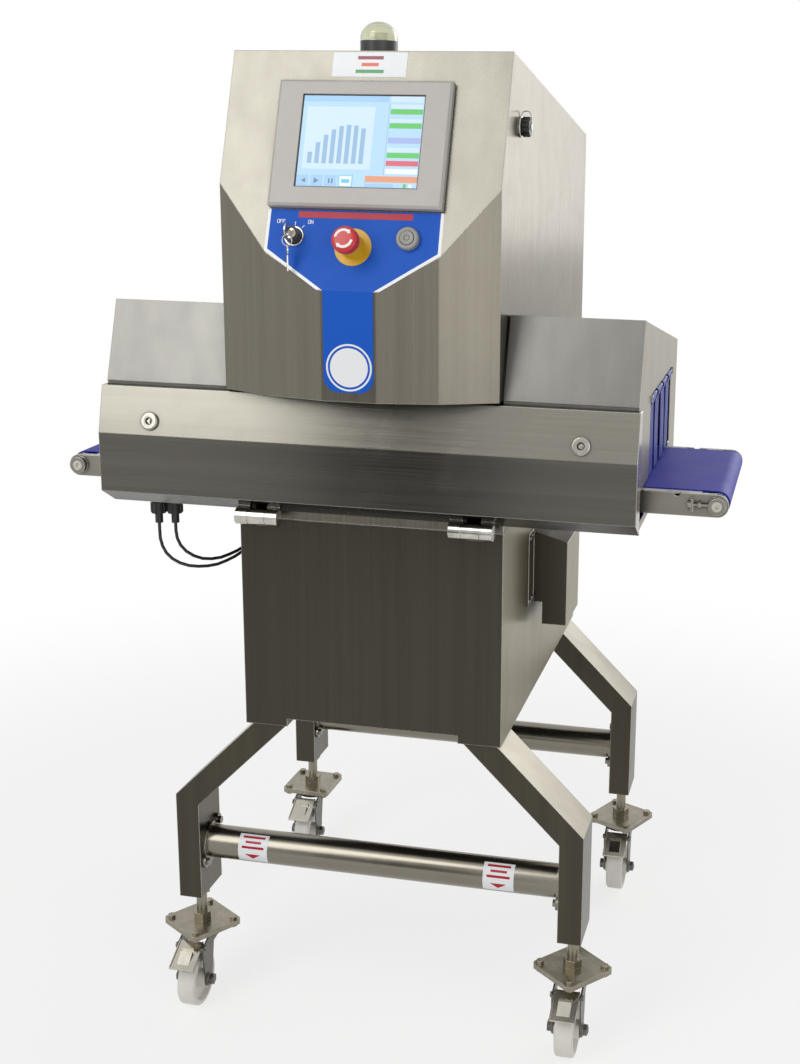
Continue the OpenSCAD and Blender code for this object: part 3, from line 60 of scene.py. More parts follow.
# %% From the drawing to Blender
MM = 0.001
HEAD_HALF, HEAD_BACK, HEAD_TOP = 230, 780, 1725.5
head_low, head_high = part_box("head_shell")
OFFSET = Vector((-HEAD_HALF * MM - head_low[0], HEAD_BACK * MM - head_high[1], HEAD_TOP * MM - head_high[2]))
X_WAY, Y_WAY, Z_WAY = Vector((1, 0, 0)), Vector((0, 1, 0)), Vector((0, 0, 1))


def at(x, y, z):
    """A place on the drawing, in millimetres, as a place in Blender."""
    return Vector((x, y, z)) * MM - OFFSET


def on_axes(start, across, up, out):
    """A function that goes x across, y up and h out from a start on the drawing, and gives the place in Blender."""
    start, across, up, out = map(Vector, (start, across, up, out))
    return lambda x, y, h: at(*(start + across * x + up * y + out * h))


def in_scene(name, data):
    """A new object in the scene, which shows this data."""
    made = bpy.data.objects.new(name, data)
    bpy.context.scene.collection.objects.link(made)
    return made


def mesh(name, points, faces):
    """A mesh with these points, and with faces that count them."""
    made = bpy.data.meshes.new(name)
    made.from_pydata(points, [], faces)
    return made


def box_outline(x0, y0, x1, y1):
    """The four corners of a box, from its lower left one."""
    return [(x0, y0), (x1, y0), (x1, y1), (x0, y1)]


print("drawing's middle is at", tuple(round(c, 4) for c in at(0, 0, 0)))

# %% [markdown]
# ## The camera
# The picture was taken from the right of the machine, a little over two metres away, with the lens above the
# conveyor and tilted down. It was then cropped, so the lens's own middle isn't the picture's middle. Blender
# calls that shift, and it is counted in parts of the picture's longer side. The camera comes first, because
# everything after it is judged in its view.

# %% Set the camera
PICTURE_W, PICTURE_H = 800, 1064
LENS_PLACE = (726.70, -2233.95, 1610.98)
LENS_MIDDLE_X, LENS_MIDDLE_Y, FOCAL_PIXELS = 521.06, 480.83, 1469.19
YAW, TILT, ROLL = math.radians(11.63), math.radians(13.51), math.radians(0.90)
camera_data = bpy.data.cameras.new("camera")
camera = in_scene("camera", camera_data)
turn = (Matrix.Rotation(YAW, 4, "Z") @ Matrix.Rotation(math.pi / 2 - TILT, 4, "X")
        @ Matrix.Rotation(ROLL, 4, "Z"))
camera.matrix_world = Matrix.Translation(at(*LENS_PLACE)) @ turn
camera_data.sensor_width = 36
camera_data.lens = FOCAL_PIXELS * camera_data.sensor_width / PICTURE_H
camera_data.shift_x = (PICTURE_W / 2 - LENS_MIDDLE_X) / PICTURE_H
camera_data.shift_y = (LENS_MIDDLE_Y - PICTURE_H / 2) / PICTURE_H
camera_data.clip_start = 0.05
bpy.context.scene.camera = camera
print(f"lens {camera_data.lens:.1f} mm")

# %% [markdown]
# ## Colours and nodes
# Colours are written as the hex values of a paint card, which are made for the eye. A renderer adds up light, so one
# function turns each value to linear light. A second small function adds one shader node with its settings and its
# links. With it a material reads as a list of what feeds what, in which a node alone stands for its first output.
# A name that ends in PER_M counts a pattern's patches to the metre.

# %% Helpers for colours and nodes


def linear(hex_colour):
    """An sRGB colour such as #c0c0c0 as linear light."""
    parts = [int(hex_colour[i:i + 2], 16) / 255 for i in (1, 3, 5)]
    return (*[p / 12.92 if p <= 0.04045 else ((p + 0.055) / 1.055) ** 2.4 for p in parts], 1)


def connect(tree, node, links):
    """Give each named input a value or a node's output. A node alone stands for its first output."""
    for name, value in links.items():
        if isinstance(value, bpy.types.Node):
            value = value.outputs[0]
        if isinstance(value, bpy.types.NodeSocket):
            tree.links.new(value, node.inputs[name])
        else:
            node.inputs[name].default_value = value


def add(tree, kind, links=None, **settings):
    """A shader node of this kind, with its settings and with what feeds its inputs."""
    made = tree.nodes.new(kind)
    for name, value in settings.items():
        setattr(made, name, value)
    connect(tree, made, links or {})
    return made


def new_finish(name, **shader_values):
    """An empty material with its Principled shader. Values that don't change over the surface go straight on it."""
    material = bpy.data.materials.new(name)
    material.use_nodes = True
    tree = material.node_tree
    shader = tree.nodes["Principled BSDF"]
    for socket, value in shader_values.items():
        shader.inputs[socket.replace("_", " ")].default_value = value
    return material, tree, shader


def mottled(tree, shader, scale, detail, tones, roughness):
    """A noise that moves the shader's colour and roughness between two values. Returns the noise's node."""
    place = add(tree, "ShaderNodeTexCoord")
    cloud = add(tree, "ShaderNodeTexNoise", {"Vector": place.outputs["Object"], "Scale": scale, "Detail": detail})
    tone = add(tree, "ShaderNodeMix", {0: cloud, 6: linear(tones[0]), 7: linear(tones[1])}, data_type="RGBA")
    rough = add(tree, "ShaderNodeMapRange", {"Value": cloud, "To Min": roughness[0], "To Max": roughness[1]})
    connect(tree, shader, {"Base Color": tone.outputs[2], "Roughness": rough})
    return cloud


print("white turns to", linear("#ffffff"), "and mid grey to", tuple(round(c, 3) for c in linear("#808080")))

# %% [markdown]
# ## Daylight studio
# The photograph was cut out on pure white. In Blender the world gives that white: what the camera sees directly, and
# what metal and glass mirror, is white at strength 1, while the light that falls on the machine is kept lower so that
# pale surfaces don't clip. Light Path tells the two kinds of ray apart.

# %% White world, pale floor
AMBIENT = 0.42


def seen_directly(tree):
    """One for rays from the camera, a mirror or clear plastic, and zero for the light that falls on the machine."""
    ray = add(tree, "ShaderNodeLightPath")
    seen = add(tree, "ShaderNodeMath", {0: ray.outputs["Is Camera Ray"], 1: ray.outputs["Is Glossy Ray"]},
               operation="MAXIMUM")
    return add(tree, "ShaderNodeMath", {0: seen, 1: ray.outputs["Is Transmission Ray"]}, operation="MAXIMUM")


world = bpy.data.worlds.new("studio")
world.use_nodes = True
bpy.context.scene.world = world
bpy.context.scene.view_settings.view_transform = "Standard"
tree = world.node_tree
strength = add(tree, "ShaderNodeMapRange", {"Value": seen_directly(tree), "To Min": AMBIENT, "To Max": 1.0})
connect(tree, tree.nodes["Background"], {"Color": linear("#ffffff"), "Strength": strength})

FLOOR_HALF = 12
floor_mesh = mesh("floor", [(x * FLOOR_HALF, y * FLOOR_HALF, 0) for x, y in box_outline(-1, -1, 1, 1)],
                  [(0, 1, 2, 3)])
floor = in_scene("floor", floor_mesh)

# %% [markdown]
# The floor is matt white vinyl, as in a studio's cove. To the camera it has to be as white as the backdrop, but
# it also has to keep the machine's shadow. The material mixes two answers: plain white for rays from the camera or
# from a mirror, and lit vinyl, which is where the shadow shows. Further out than the shadow reaches, the white takes
# over, so no horizon shows.

# %% Floor finish
NEAR_GLOW, FAR_GLOW = 0.72, 1.0
NEAR, FAR = 1.1, 2.6
MOTTLES_PER_M = 3.0
vinyl, tree, shader = new_finish("white_studio_vinyl", Roughness=0.85)
place = add(tree, "ShaderNodeTexCoord")
mottle = add(tree, "ShaderNodeTexNoise", {"Vector": place.outputs["Object"], "Scale": MOTTLES_PER_M,
                                          "Detail": 3.0})
tint = add(tree, "ShaderNodeMapRange", {"Value": mottle, "To Min": 0.97, "To Max": 1.0})
shade = add(tree, "ShaderNodeMix", {0: tint, 6: linear("#e9e9e7"), 7: linear("#f6f6f4")}, data_type="RGBA")
connect(tree, shader, {"Base Color": shade.outputs[2]})
white = add(tree, "ShaderNodeEmission", {"Color": linear("#ffffff"), "Strength": 1.0})
reach = add(tree, "ShaderNodeVectorMath", {0: place.outputs["Object"]}, operation="LENGTH")
glow = add(tree, "ShaderNodeMapRange", {"Value": reach.outputs["Value"], "From Min": NEAR, "From Max": FAR,
                                        "To Min": NEAR_GLOW, "To Max": FAR_GLOW}, interpolation_type="SMOOTHSTEP")
share = add(tree, "ShaderNodeMath", {0: seen_directly(tree), 1: glow}, operation="MULTIPLY")
mixed = add(tree, "ShaderNodeMixShader", {0: share, 1: shader, 2: white})
connect(tree, tree.nodes["Material Output"], {"Surface": mixed})
floor_mesh.materials.append(vinyl)
print("floor is", 2 * FLOOR_HALF, "m wide")

# %% [markdown]
# ## Lamps
# Brushed steel looks like the light that it faces. The head's sloped face leans back, so a large soft lamp high on the
# left, where that slope mirrors the camera's view, makes it the brightest part, as in the photograph. A second lamp
# behind on the right lights the sides, and a weak one in front opens the shadows. All are large, so edges stay soft.

# %% Three soft lamps
LAMPS = {"lamp_key": ((-1350, -2450, 3050), (0, 0, 1350), 1.7, 2.6, 48),
         "lamp_back": ((1900, 3200, 2300), (0, 0, 1500), 2.4, 2.4, 40),
         "lamp_front": ((2300, -2600, 1500), (0, 0, 900), 2.2, 2.2, 18)}
for name, (place, target, width, height, watts) in LAMPS.items():
    lamp_data = bpy.data.lights.new(name, "AREA")
    lamp_data.shape, lamp_data.size, lamp_data.size_y, lamp_data.energy = "RECTANGLE", width, height, watts
    lamp = in_scene(name, lamp_data)
    lamp.location = at(*place)
    lamp.rotation_euler = (at(*target) - at(*place)).to_track_quat("-Z", "Y").to_euler()
    lamp.visible_camera = False
print("lamps:", list(LAMPS))

# %% [markdown]
# Bright metal in an all-white room looks flat. Studios stand a dark card beside the camera, and its soft reflection
# gives folded sheet its dark and light sides. Two cards hang one above the other here: upright sheet mirrors the
# wide lower one, and faces that lean back mirror the upper one, which is slimmer, so that their right side stays
# bright. The cards are seen by reflections only, so they take no light away.

# %% Two dark cards
CARD_Y = -2500
CARDS = {"lower_card": (-980, -330, 150, 1150), "upper_card": (-1000, -500, 1150, 2550)}
WEAVES_PER_M = 2.0
card_grey, tree, shader = new_finish("dark_studio_card")
place = add(tree, "ShaderNodeTexCoord")
weave = add(tree, "ShaderNodeTexNoise", {"Vector": place.outputs["Object"], "Scale": WEAVES_PER_M, "Detail": 2.0})
tone = add(tree, "ShaderNodeMix", {0: weave, 6: linear("#2b2926"), 7: linear("#42403b")}, data_type="RGBA")
card_light = add(tree, "ShaderNodeEmission", {"Color": tone.outputs[2], "Strength": 1.0})
connect(tree, tree.nodes["Material Output"], {"Surface": card_light})
for name, (x0, x1, z0, z1) in CARDS.items():
    corners = [at(x, CARD_Y, z) for x, z in box_outline(x0, z0, x1, z1)]
    card = in_scene(name, mesh(name, corners, [(0, 1, 2, 3)]))
    card.data.materials.append(card_grey)
    card.visible_camera = card.visible_diffuse = card.visible_transmission = card.visible_shadow = False
    print(name, "is", x1 - x0, "mm wide")

# %% [markdown]
# ## Meshes made in code
# Three helpers make nearly every added piece. A turned piece is a profile spun round an axis, as on a lathe. A flat
# piece is an outline with a thickness. Both are first made in the piece's own millimetres and then put in place by a
# function, so that the same helper serves the floor, the slope of the head and its side. The third gives the mesh its
# finish, smooths it by angle and lets it ride on the CAD body that carries it.

# %% Helpers for meshes
SMOOTH_ANGLE = math.radians(35)


def piece(name, mesh_data, finishes, body):
    """A piece of the model: its finish, its smooth shading and its body."""
    for finish in finishes if isinstance(finishes, (list, tuple)) else [finishes]:
        mesh_data.materials.append(finish)
    made = in_scene(name, mesh_data)
    if isinstance(mesh_data, bpy.types.Mesh):
        work = bmesh.new()
        work.from_mesh(mesh_data)
        bmesh.ops.recalc_face_normals(work, faces=work.faces)
        for face in work.faces:
            face.smooth = True
        for edge in work.edges:
            edge.smooth = len(edge.link_faces) == 2 and edge.calc_face_angle(math.pi) < SMOOTH_ANGLE
        work.to_mesh(mesh_data)
        work.free()
    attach(made, body)
    return made


def turned(name, profile, place, steps=48, close=False):
    """A mesh spun from a profile of (radius, height) pairs. place puts its (x, y, z) in Blender."""
    points, faces, rings = [], [], []
    for radius, height in profile:
        if radius < 1e-6:
            rings.append([len(points)] * steps)
            points.append(place(0, 0, height))
        else:
            rings.append([len(points) + k for k in range(steps)])
            points += [place(radius * math.cos(2 * math.pi * k / steps), radius * math.sin(2 * math.pi * k / steps),
                             height) for k in range(steps)]
    pairs = list(zip(rings, rings[1:])) + ([(rings[-1], rings[0])] if close else [])
    for low, high in pairs:
        for k in range(steps):
            corner = [low[k], low[(k + 1) % steps], high[(k + 1) % steps], high[k]]
            corner = list(dict.fromkeys(corner))
            if len(corner) > 2:
                faces.append(corner)
    return mesh(name, points, faces)


def flat(name, outline, place, low, high):
    """A mesh with this outline of (x, y) pairs between two heights, put in Blender by place."""
    n = len(outline)
    points = [place(x, y, h) for h in (low, high) for x, y in outline]
    faces = [list(range(n))[::-1], list(range(n, 2 * n))]
    faces += [[k, (k + 1) % n, n + (k + 1) % n, n + k] for k in range(n)]
    return mesh(name, points, faces)


def joined(name, parts):
    """One mesh from several. Each keeps the number of its place in parts as its material number."""
    work = bmesh.new()
    for number, part in parts:
        first = len(work.faces)
        work.from_mesh(part)
        work.faces.ensure_lookup_table()
        for face in work.faces[first:]:
            face.material_index = number
        bpy.data.meshes.remove(part)
    mesh_data = bpy.data.meshes.new(name)
    work.to_mesh(mesh_data)
    work.free()
    return mesh_data


def round_corners(outline, radius, steps=5):
    """The same outline with each corner cut round."""
    made, n = [], len(outline)
    for i, corner in enumerate(outline):
        here = Vector(corner)
        before, after = Vector(outline[i - 1]) - here, Vector(outline[(i + 1) % n]) - here
        reach = min(radius, before.length / 2.01, after.length / 2.01)
        start, end = here + before.normalized() * reach, here + after.normalized() * reach
        for k in range(steps + 1):
            t = k / steps
            made.append(tuple(start * (1 - t) ** 2 + here * 2 * t * (1 - t) + end * t ** 2))
    return made


def polar(radius, angle):
    """The point at this radius and at this angle in degrees."""
    return radius * math.cos(math.radians(angle)), radius * math.sin(math.radians(angle))


def arc(centre_x, centre_y, radius, first, last, steps):
    """Points on an arc, angles in degrees."""
    spokes = [polar(radius, first + (last - first) * k / steps) for k in range(steps + 1)]
    return [(centre_x + x, centre_y + y) for x, y in spokes]


def round_curve(name, points, radius, resolution):
    """A round wire or cable through places in Blender, with its radius in millimetres."""
    curve = bpy.data.curves.new(name, "CURVE")
    curve.dimensions, curve.bevel_depth, curve.use_fill_caps = "3D", radius * MM, True
    curve.bevel_resolution, curve.resolution_u = resolution, 6
    spline = curve.splines.new("POLY")
    spline.points.add(len(points) - 1)
    for knot, point in zip(spline.points, points):
        knot.co = (*point, 1)
    return curve


# %% [markdown]
# ## The two cables
# Two round data cables leave the connectors under the inlet tunnel, sag in a soft bow and go into glands on the
# cabinet's side. They are PVC cable of 5.8 mm, stiff enough to hold a wide curve. Each is a curve through the points of
# the drawing's own route, whose heights count from the tunnel's floor, with a round bevel. Both ends go into the
# machine.

# %% Cable sheath
CABLE_D, SCUFFS_PER_M = 5.8, 180.0
sheath, tree, shader = new_finish("black_pvc_cable_sheath", IOR=1.53, Specular_IOR_Level=0.5)
scuff = mottled(tree, shader, SCUFFS_PER_M, 4.0, ("#121212", "#242423"), (0.34, 0.52))
grain = add(tree, "ShaderNodeBump", {"Height": scuff, "Strength": 0.15, "Distance": 0.0002})
connect(tree, shader, {"Normal": grain})

# %% Cables along their routes
FLOOR_Z = 976.5
FRONT_ROUTE = [
    (-422, 130, -64), (-422, 130, -79), (-422, 131, -94), (-420, 134, -109), (-415, 138, -123), (-406, 143, -135),
    (-394, 149, -144), (-380, 156, -150), (-366, 165, -153), (-352, 175, -154), (-338, 187, -153), (-326, 200, -149),
    (-315, 213, -144), (-305, 226, -137), (-296, 239, -130), (-288, 252, -123), (-281, 264, -117), (-275, 274, -113),
    (-268, 283, -110), (-259, 288, -108), (-252, 290, -107), (-244, 290, -107)]
REAR_ROUTE = [
    (-394, 137, -64), (-394, 137, -79), (-393, 139, -94), (-389, 143, -108), (-381, 149, -121), (-370, 157, -131),
    (-358, 167, -138), (-345, 179, -141), (-333, 192, -141), (-322, 206, -138), (-312, 220, -134), (-304, 234, -129),
    (-297, 248, -125), (-290, 262, -121), (-284, 276, -117), (-278, 288, -113), (-270, 299, -110), (-260, 306, -108),
    (-252, 308, -107), (-244, 308, -107)]


def cable(name, route, node):
    """A cable that follows the route."""
    points = [at(x, y, FLOOR_Z + z) for x, y, z in route]
    made = piece(name, round_curve(name, points, CABLE_D / 2, 6), sheath, "machine")
    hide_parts(node)


cable("inlet_cable_front", FRONT_ROUTE, "cable_front")
cable("inlet_cable_rear", REAR_ROUTE, "cable_rear")

# %% [markdown]
# ## Brushed stainless steel
# Most of the machine is 1.4301 stainless sheet, folded and welded, then brushed with an abrasive belt so that it can
# be washed down and doesn't show fingerprints. The belt leaves fine parallel scratches. The eye sees them as streaks
# along the grain, and as highlights drawn out across it. Real scratches are about 0.1 mm wide, too fine for this
# picture, so the streaks are drawn a few millimetres wide.
#
# The streaks are noise that is stretched along the grain. On a level face the grain has to lie flat too, so the face's
# direction picks between two stretches. A second, broader noise gives the cloudy bands of a rolled sheet, a third one
# the smudges that hands and cloths leave. The Bevel node rounds folded edges for the light, and where it turns the
# surface, the edge is painted brighter: partly as wear, partly as a painted highlight along each fold.
#
# Upright sheet mirrors the floor and whatever stands in front of it, and looks dark, while a face that leans back
# mirrors the lamps and looks nearly white. A white studio shows less of that than a workshop does, so the tones are
# painted reflection: faces that lean back start from a lighter pair of tones, faces that look sideways from a pair of
# their own. Undersides and nooks, which see little of the room, get painted shade: they are mixed towards near black.

# %% Brushed steel
STREAK_W, STREAK_L = 1.3 * MM, 260 * MM
BAND_TIMES = 0.045
SMUDGE = 75 * MM
FOLD_R = 2.2 * MM
LEAN_FROM, LEAN_TO = 0.06, 0.22
LEVEL_FROM, SIDE_FROM, SIDE_TO = 0.85, 0.7, 0.95
UNDER_FROM, UNDER_TO, PAINTED_SHADE_FLOOR = -0.6, -0.2, 0.25
NOOK, NOOK_FROM, NOOK_TO = 70 * MM, 0.15, 0.85
EDGE_FROM, EDGE_TO = 0.995, 0.80
RUB, TOUCHED = 0.07, 0.03


def grain_place(tree, along):
    """Noise places for grain that runs up and down, or level, on walls, and along the depth on level faces."""
    place = add(tree, "ShaderNodeTexCoord")
    fine, long = 1 / STREAK_W, 1 / STREAK_L
    wall = (fine, fine, long) if along == "upright" else (long, long, fine)
    level = (fine, long, fine) if along == "upright" else (long, fine, fine)
    parts = [add(tree, "ShaderNodeMapping", {"Vector": place.outputs["Object"], "Scale": scale})
             for scale in (wall, level)]
    facing = add(tree, "ShaderNodeSeparateXYZ", {0: place.outputs["Normal"]})
    up = add(tree, "ShaderNodeMath", {0: facing.outputs["Z"]}, operation="ABSOLUTE")
    is_level = add(tree, "ShaderNodeMath", {0: up, 1: LEVEL_FROM}, operation="GREATER_THAN")
    chosen = add(tree, "ShaderNodeMix", {0: is_level, 4: parts[0], 5: parts[1]}, data_type="VECTOR")
    return place, facing, chosen.outputs[1]


def edge_rub_and_highlight(tree, tone, radius, wear_and_highlight, rub_and_highlight_colour):
    """Round the edges; brighten them as wear and as a painted highlight. Returns the rounded normal and the tone."""
    rounded = add(tree, "ShaderNodeBevel", {"Radius": radius}, samples=4)
    flat_way = add(tree, "ShaderNodeNewGeometry")
    same = add(tree, "ShaderNodeVectorMath", {0: rounded, 1: flat_way.outputs["Normal"]}, operation="DOT_PRODUCT")
    edge = add(tree, "ShaderNodeMapRange", {"Value": same.outputs["Value"], "From Min": EDGE_FROM,
                                            "From Max": EDGE_TO, "To Max": wear_and_highlight})
    worn_and_highlit = add(tree, "ShaderNodeMix", {0: edge, 6: tone, 7: linear(rub_and_highlight_colour)}, data_type="RGBA")
    return rounded, worn_and_highlit.outputs[2]


def brushed_steel(name, upright, leaning, sideways, roughness, along="upright"):
    """Belt-brushed stainless sheet, with painted reflection: a dark and a light tone each for upright, leaning and
    sideways faces.
    """
    material, tree, shader = new_finish(name, Metallic=1.0, Anisotropic=0.45,
                                        Anisotropic_Rotation=0.0 if along == "upright" else 0.25)
    place, facing, grain = grain_place(tree, along)
    streak = add(tree, "ShaderNodeTexNoise", {"Vector": grain, "Scale": 1.0, "Detail": 3.0, "Roughness": 0.6})
    wide = add(tree, "ShaderNodeVectorMath", {0: grain, "Scale": BAND_TIMES}, operation="SCALE")
    band = add(tree, "ShaderNodeTexNoise", {"Vector": wide, "Scale": 1.0, "Detail": 2.0})
    hands = add(tree, "ShaderNodeTexNoise", {"Vector": place.outputs["Object"], "Scale": 1 / SMUDGE, "Detail": 3.0,
                                             "Distortion": 0.8})
    both = add(tree, "ShaderNodeMix", {0: 0.45, 2: streak, 3: band})
    tone = add(tree, "ShaderNodeMapRange", {"Value": both, "From Min": 0.30, "From Max": 0.70})
    # Painted reflection: one pair of tones each for upright faces, faces that lean back and faces that look sideways.
    pairs = [add(tree, "ShaderNodeMix", {0: tone, 6: linear(dark), 7: linear(light)}, data_type="RGBA").outputs[2]
             for dark, light in (upright, leaning, sideways)]
    lean = add(tree, "ShaderNodeMapRange", {"Value": facing.outputs["Z"], "From Min": LEAN_FROM,
                                            "From Max": LEAN_TO})
    across = add(tree, "ShaderNodeMath", {0: facing.outputs["X"]}, operation="ABSOLUTE")
    across = add(tree, "ShaderNodeMapRange", {"Value": across, "From Min": SIDE_FROM, "From Max": SIDE_TO})
    sheet = add(tree, "ShaderNodeMix", {0: lean, 6: pairs[0], 7: pairs[1]}, data_type="RGBA")
    sheet = add(tree, "ShaderNodeMix", {0: across, 6: sheet.outputs[2], 7: pairs[2]}, data_type="RGBA")
    # Painted shade: faces that look down, and nooks that the ambient occlusion node finds, are mixed towards near
    # black.
    under = add(tree, "ShaderNodeMapRange", {"Value": facing.outputs["Z"], "From Min": UNDER_FROM,
                                             "From Max": UNDER_TO, "To Min": PAINTED_SHADE_FLOOR})
    nook = add(tree, "ShaderNodeAmbientOcclusion", {"Distance": NOOK}, samples=4)
    open_air = add(tree, "ShaderNodeMapRange", {"Value": nook.outputs["AO"], "From Min": NOOK_FROM,
                                                "From Max": NOOK_TO, "To Min": PAINTED_SHADE_FLOOR})
    bright = add(tree, "ShaderNodeMath", {0: under, 1: open_air}, operation="MULTIPLY")
    sheet = add(tree, "ShaderNodeMix", {0: bright, 6: linear("#1c1a17"), 7: sheet.outputs[2]}, data_type="RGBA")
    # The folded edges are brightened, partly as wear and partly as a painted highlight.
    rounded, worn_and_highlit = edge_rub_and_highlight(tree, sheet.outputs[2], FOLD_R, 0.8, "#e2dfd6")
    rub = add(tree, "ShaderNodeMapRange", {"Value": streak, "To Min": roughness - RUB, "To Max": roughness + RUB})
    touched = add(tree, "ShaderNodeMapRange", {"Value": hands, "From Min": 0.45, "From Max": 0.75,
                                               "To Max": TOUCHED})
    rough = add(tree, "ShaderNodeMath", {0: rub, 1: touched}, operation="ADD")
    scratches = add(tree, "ShaderNodeBump", {"Height": streak, "Normal": rounded, "Strength": 0.05,
                                             "Distance": 0.0001})
    around = add(tree, "ShaderNodeTangent", direction_type="RADIAL", axis="Z")
    connect(tree, shader, {"Base Color": worn_and_highlit, "Roughness": rough, "Normal": scratches, "Tangent": around})
    return material


# Lit and shaded copies of one stainless: each part's tones are painted reflection and shade, darkest on cabinet and
# legs.
head_steel = brushed_steel("brushed_stainless_head", ("#6c685e", "#7d796e"), ("#79766d", "#848178"),
                           ("#5f5747", "#6a6251"), 0.28)
hood_steel = brushed_steel("brushed_stainless_hood", ("#85847f", "#93928d"), ("#72716d", "#7f7e79"),
                           ("#8d8779", "#9b9587"), 0.34)
cover_steel = brushed_steel("brushed_stainless_cover", ("#575550", "#66635d"), ("#7b7970", "#89867d"),
                            ("#86817a", "#938e86"), 0.24, along="level")
cabinet_steel = brushed_steel("brushed_stainless_cabinet", ("#434039", "#4e4a42"), ("#66625a", "#736f65"),
                              ("#827a64", "#8f8872"), 0.33)
leg_steel = brushed_steel("brushed_stainless_leg", ("#47433a", "#524e44"), ("#8b8679", "#999488"),
                          ("#5f5b50", "#6b675c"), 0.30)
frame_steel = brushed_steel("brushed_stainless_frame", ("#7b786f", "#8c8980"), ("#7b786f", "#8c8980"),
                            ("#8b887f", "#9c9990"), 0.34, along="level")

# %% [markdown]
# ## Machined and plated steel
# Hinges, lift tubes, locks and rollers are turned or milled from bar and left bright. Their tool marks are finer than
# the belt's, so they mirror more and spread less. Castor forks are pressed from sheet and zinc plated: grey, a little
# blue, with a soft bloom where the plating dulls. Both come from one function with two tones and a roughness.

# %% Bright and plated steel
TOOL_MARK = 1.1 * MM
BAR_EDGE_R = 0.6 * MM
LESS_ROUGH, MORE_ROUGH = 0.06, 0.08


def plain_metal(name, dark, light, roughness, mottle=18 * MM):
    """Machined or plated metal with a soft mottle and fine tool marks."""
    material, tree, shader = new_finish(name, Metallic=1.0)
    place = add(tree, "ShaderNodeTexCoord")
    bloom = add(tree, "ShaderNodeTexNoise", {"Vector": place.outputs["Object"], "Scale": 1 / mottle, "Detail": 5.0,
                                             "Roughness": 0.6})
    marks = add(tree, "ShaderNodeTexNoise", {"Vector": place.outputs["Object"], "Scale": 1 / TOOL_MARK,
                                             "Detail": 2.0})
    mixed = add(tree, "ShaderNodeMix", {0: 0.3, 2: bloom, 3: marks})
    spread = add(tree, "ShaderNodeMapRange", {"Value": mixed, "From Min": 0.3, "From Max": 0.7})
    tone = add(tree, "ShaderNodeMix", {0: spread, 6: linear(dark), 7: linear(light)}, data_type="RGBA")
    # Edges are brightened, partly as wear and partly as a painted highlight.
    rounded, worn_and_highlit = edge_rub_and_highlight(tree, tone.outputs[2], BAR_EDGE_R, 0.5, "#f0eee8")
    rough = add(tree, "ShaderNodeMapRange", {"Value": bloom, "To Min": roughness - LESS_ROUGH,
                                             "To Max": roughness + MORE_ROUGH})
    dents = add(tree, "ShaderNodeBump", {"Height": marks, "Normal": rounded, "Strength": 0.06, "Distance": 0.0001})
    connect(tree, shader, {"Base Color": worn_and_highlit, "Roughness": rough, "Normal": dents})
    return material


bright_steel = plain_metal("polished_stainless_bar", "#a8a59c", "#d6d3ca", 0.18)
tube_steel = plain_metal("polished_lift_tube", "#817c70", "#89847a", 0.23, mottle=80 * MM)
plate_steel = plain_metal("plasma_cut_adapter_plate", "#7f796b", "#a09a8b", 0.25, mottle=30 * MM)
fork_zinc = plain_metal("zinc_plated_castor_steel", "#54524e", "#7a7873", 0.36, mottle=9 * MM)
pedal_steel = plain_metal("polished_brake_pedal", "#a9a499", "#c4bfb3", 0.16, mottle=40 * MM)
lock_steel = plain_metal("die_cast_lock_steel", "#8b8981", "#b9b6ac", 0.24)
tank_paint_metal = plain_metal("cast_aluminium_housing", "#83878a", "#a4a8aa", 0.48, mottle=6 * MM)

# %% [markdown]
# ## Plastics and coatings
# Moulded plastic has a fine spark-eroded texture, about a tenth of a millimetre, and a soft gloss on top of a colour
# that goes all through it. One function makes it from two tones that hardly differ, a roughness and the size of the
# texture. IOR is 1.46 to 1.58 for such plastics.

# %% Moulded plastic
DUST = 40 * MM


def moulded(name, dark, light, roughness, ior=1.5, texture=0.9 * MM, bump=0.12, edge_r=0.5 * MM, **shader_values):
    """Moulded or coated plastic with a fine texture, and dust that dulls it in patches."""
    material, tree, shader = new_finish(name, IOR=ior, **shader_values)
    place = add(tree, "ShaderNodeTexCoord")
    cells = add(tree, "ShaderNodeTexNoise", {"Vector": place.outputs["Object"], "Scale": 1 / texture, "Detail": 2.0})
    dust = add(tree, "ShaderNodeTexNoise", {"Vector": place.outputs["Object"], "Scale": 1 / DUST, "Detail": 4.0})
    both = add(tree, "ShaderNodeMix", {0: 0.5, 2: cells, 3: dust})
    spread = add(tree, "ShaderNodeMapRange", {"Value": both, "From Min": 0.35, "From Max": 0.65})
    tone = add(tree, "ShaderNodeMix", {0: spread, 6: linear(dark), 7: linear(light)}, data_type="RGBA")
    rough = add(tree, "ShaderNodeMapRange", {"Value": dust, "To Min": roughness - LESS_ROUGH,
                                             "To Max": roughness + MORE_ROUGH})
    rounded = add(tree, "ShaderNodeBevel", {"Radius": edge_r}, samples=4)
    skin = add(tree, "ShaderNodeBump", {"Height": cells, "Normal": rounded, "Strength": bump, "Distance": 0.0001})
    connect(tree, shader, {"Base Color": tone.outputs[2], "Roughness": rough, "Normal": skin})
    return material


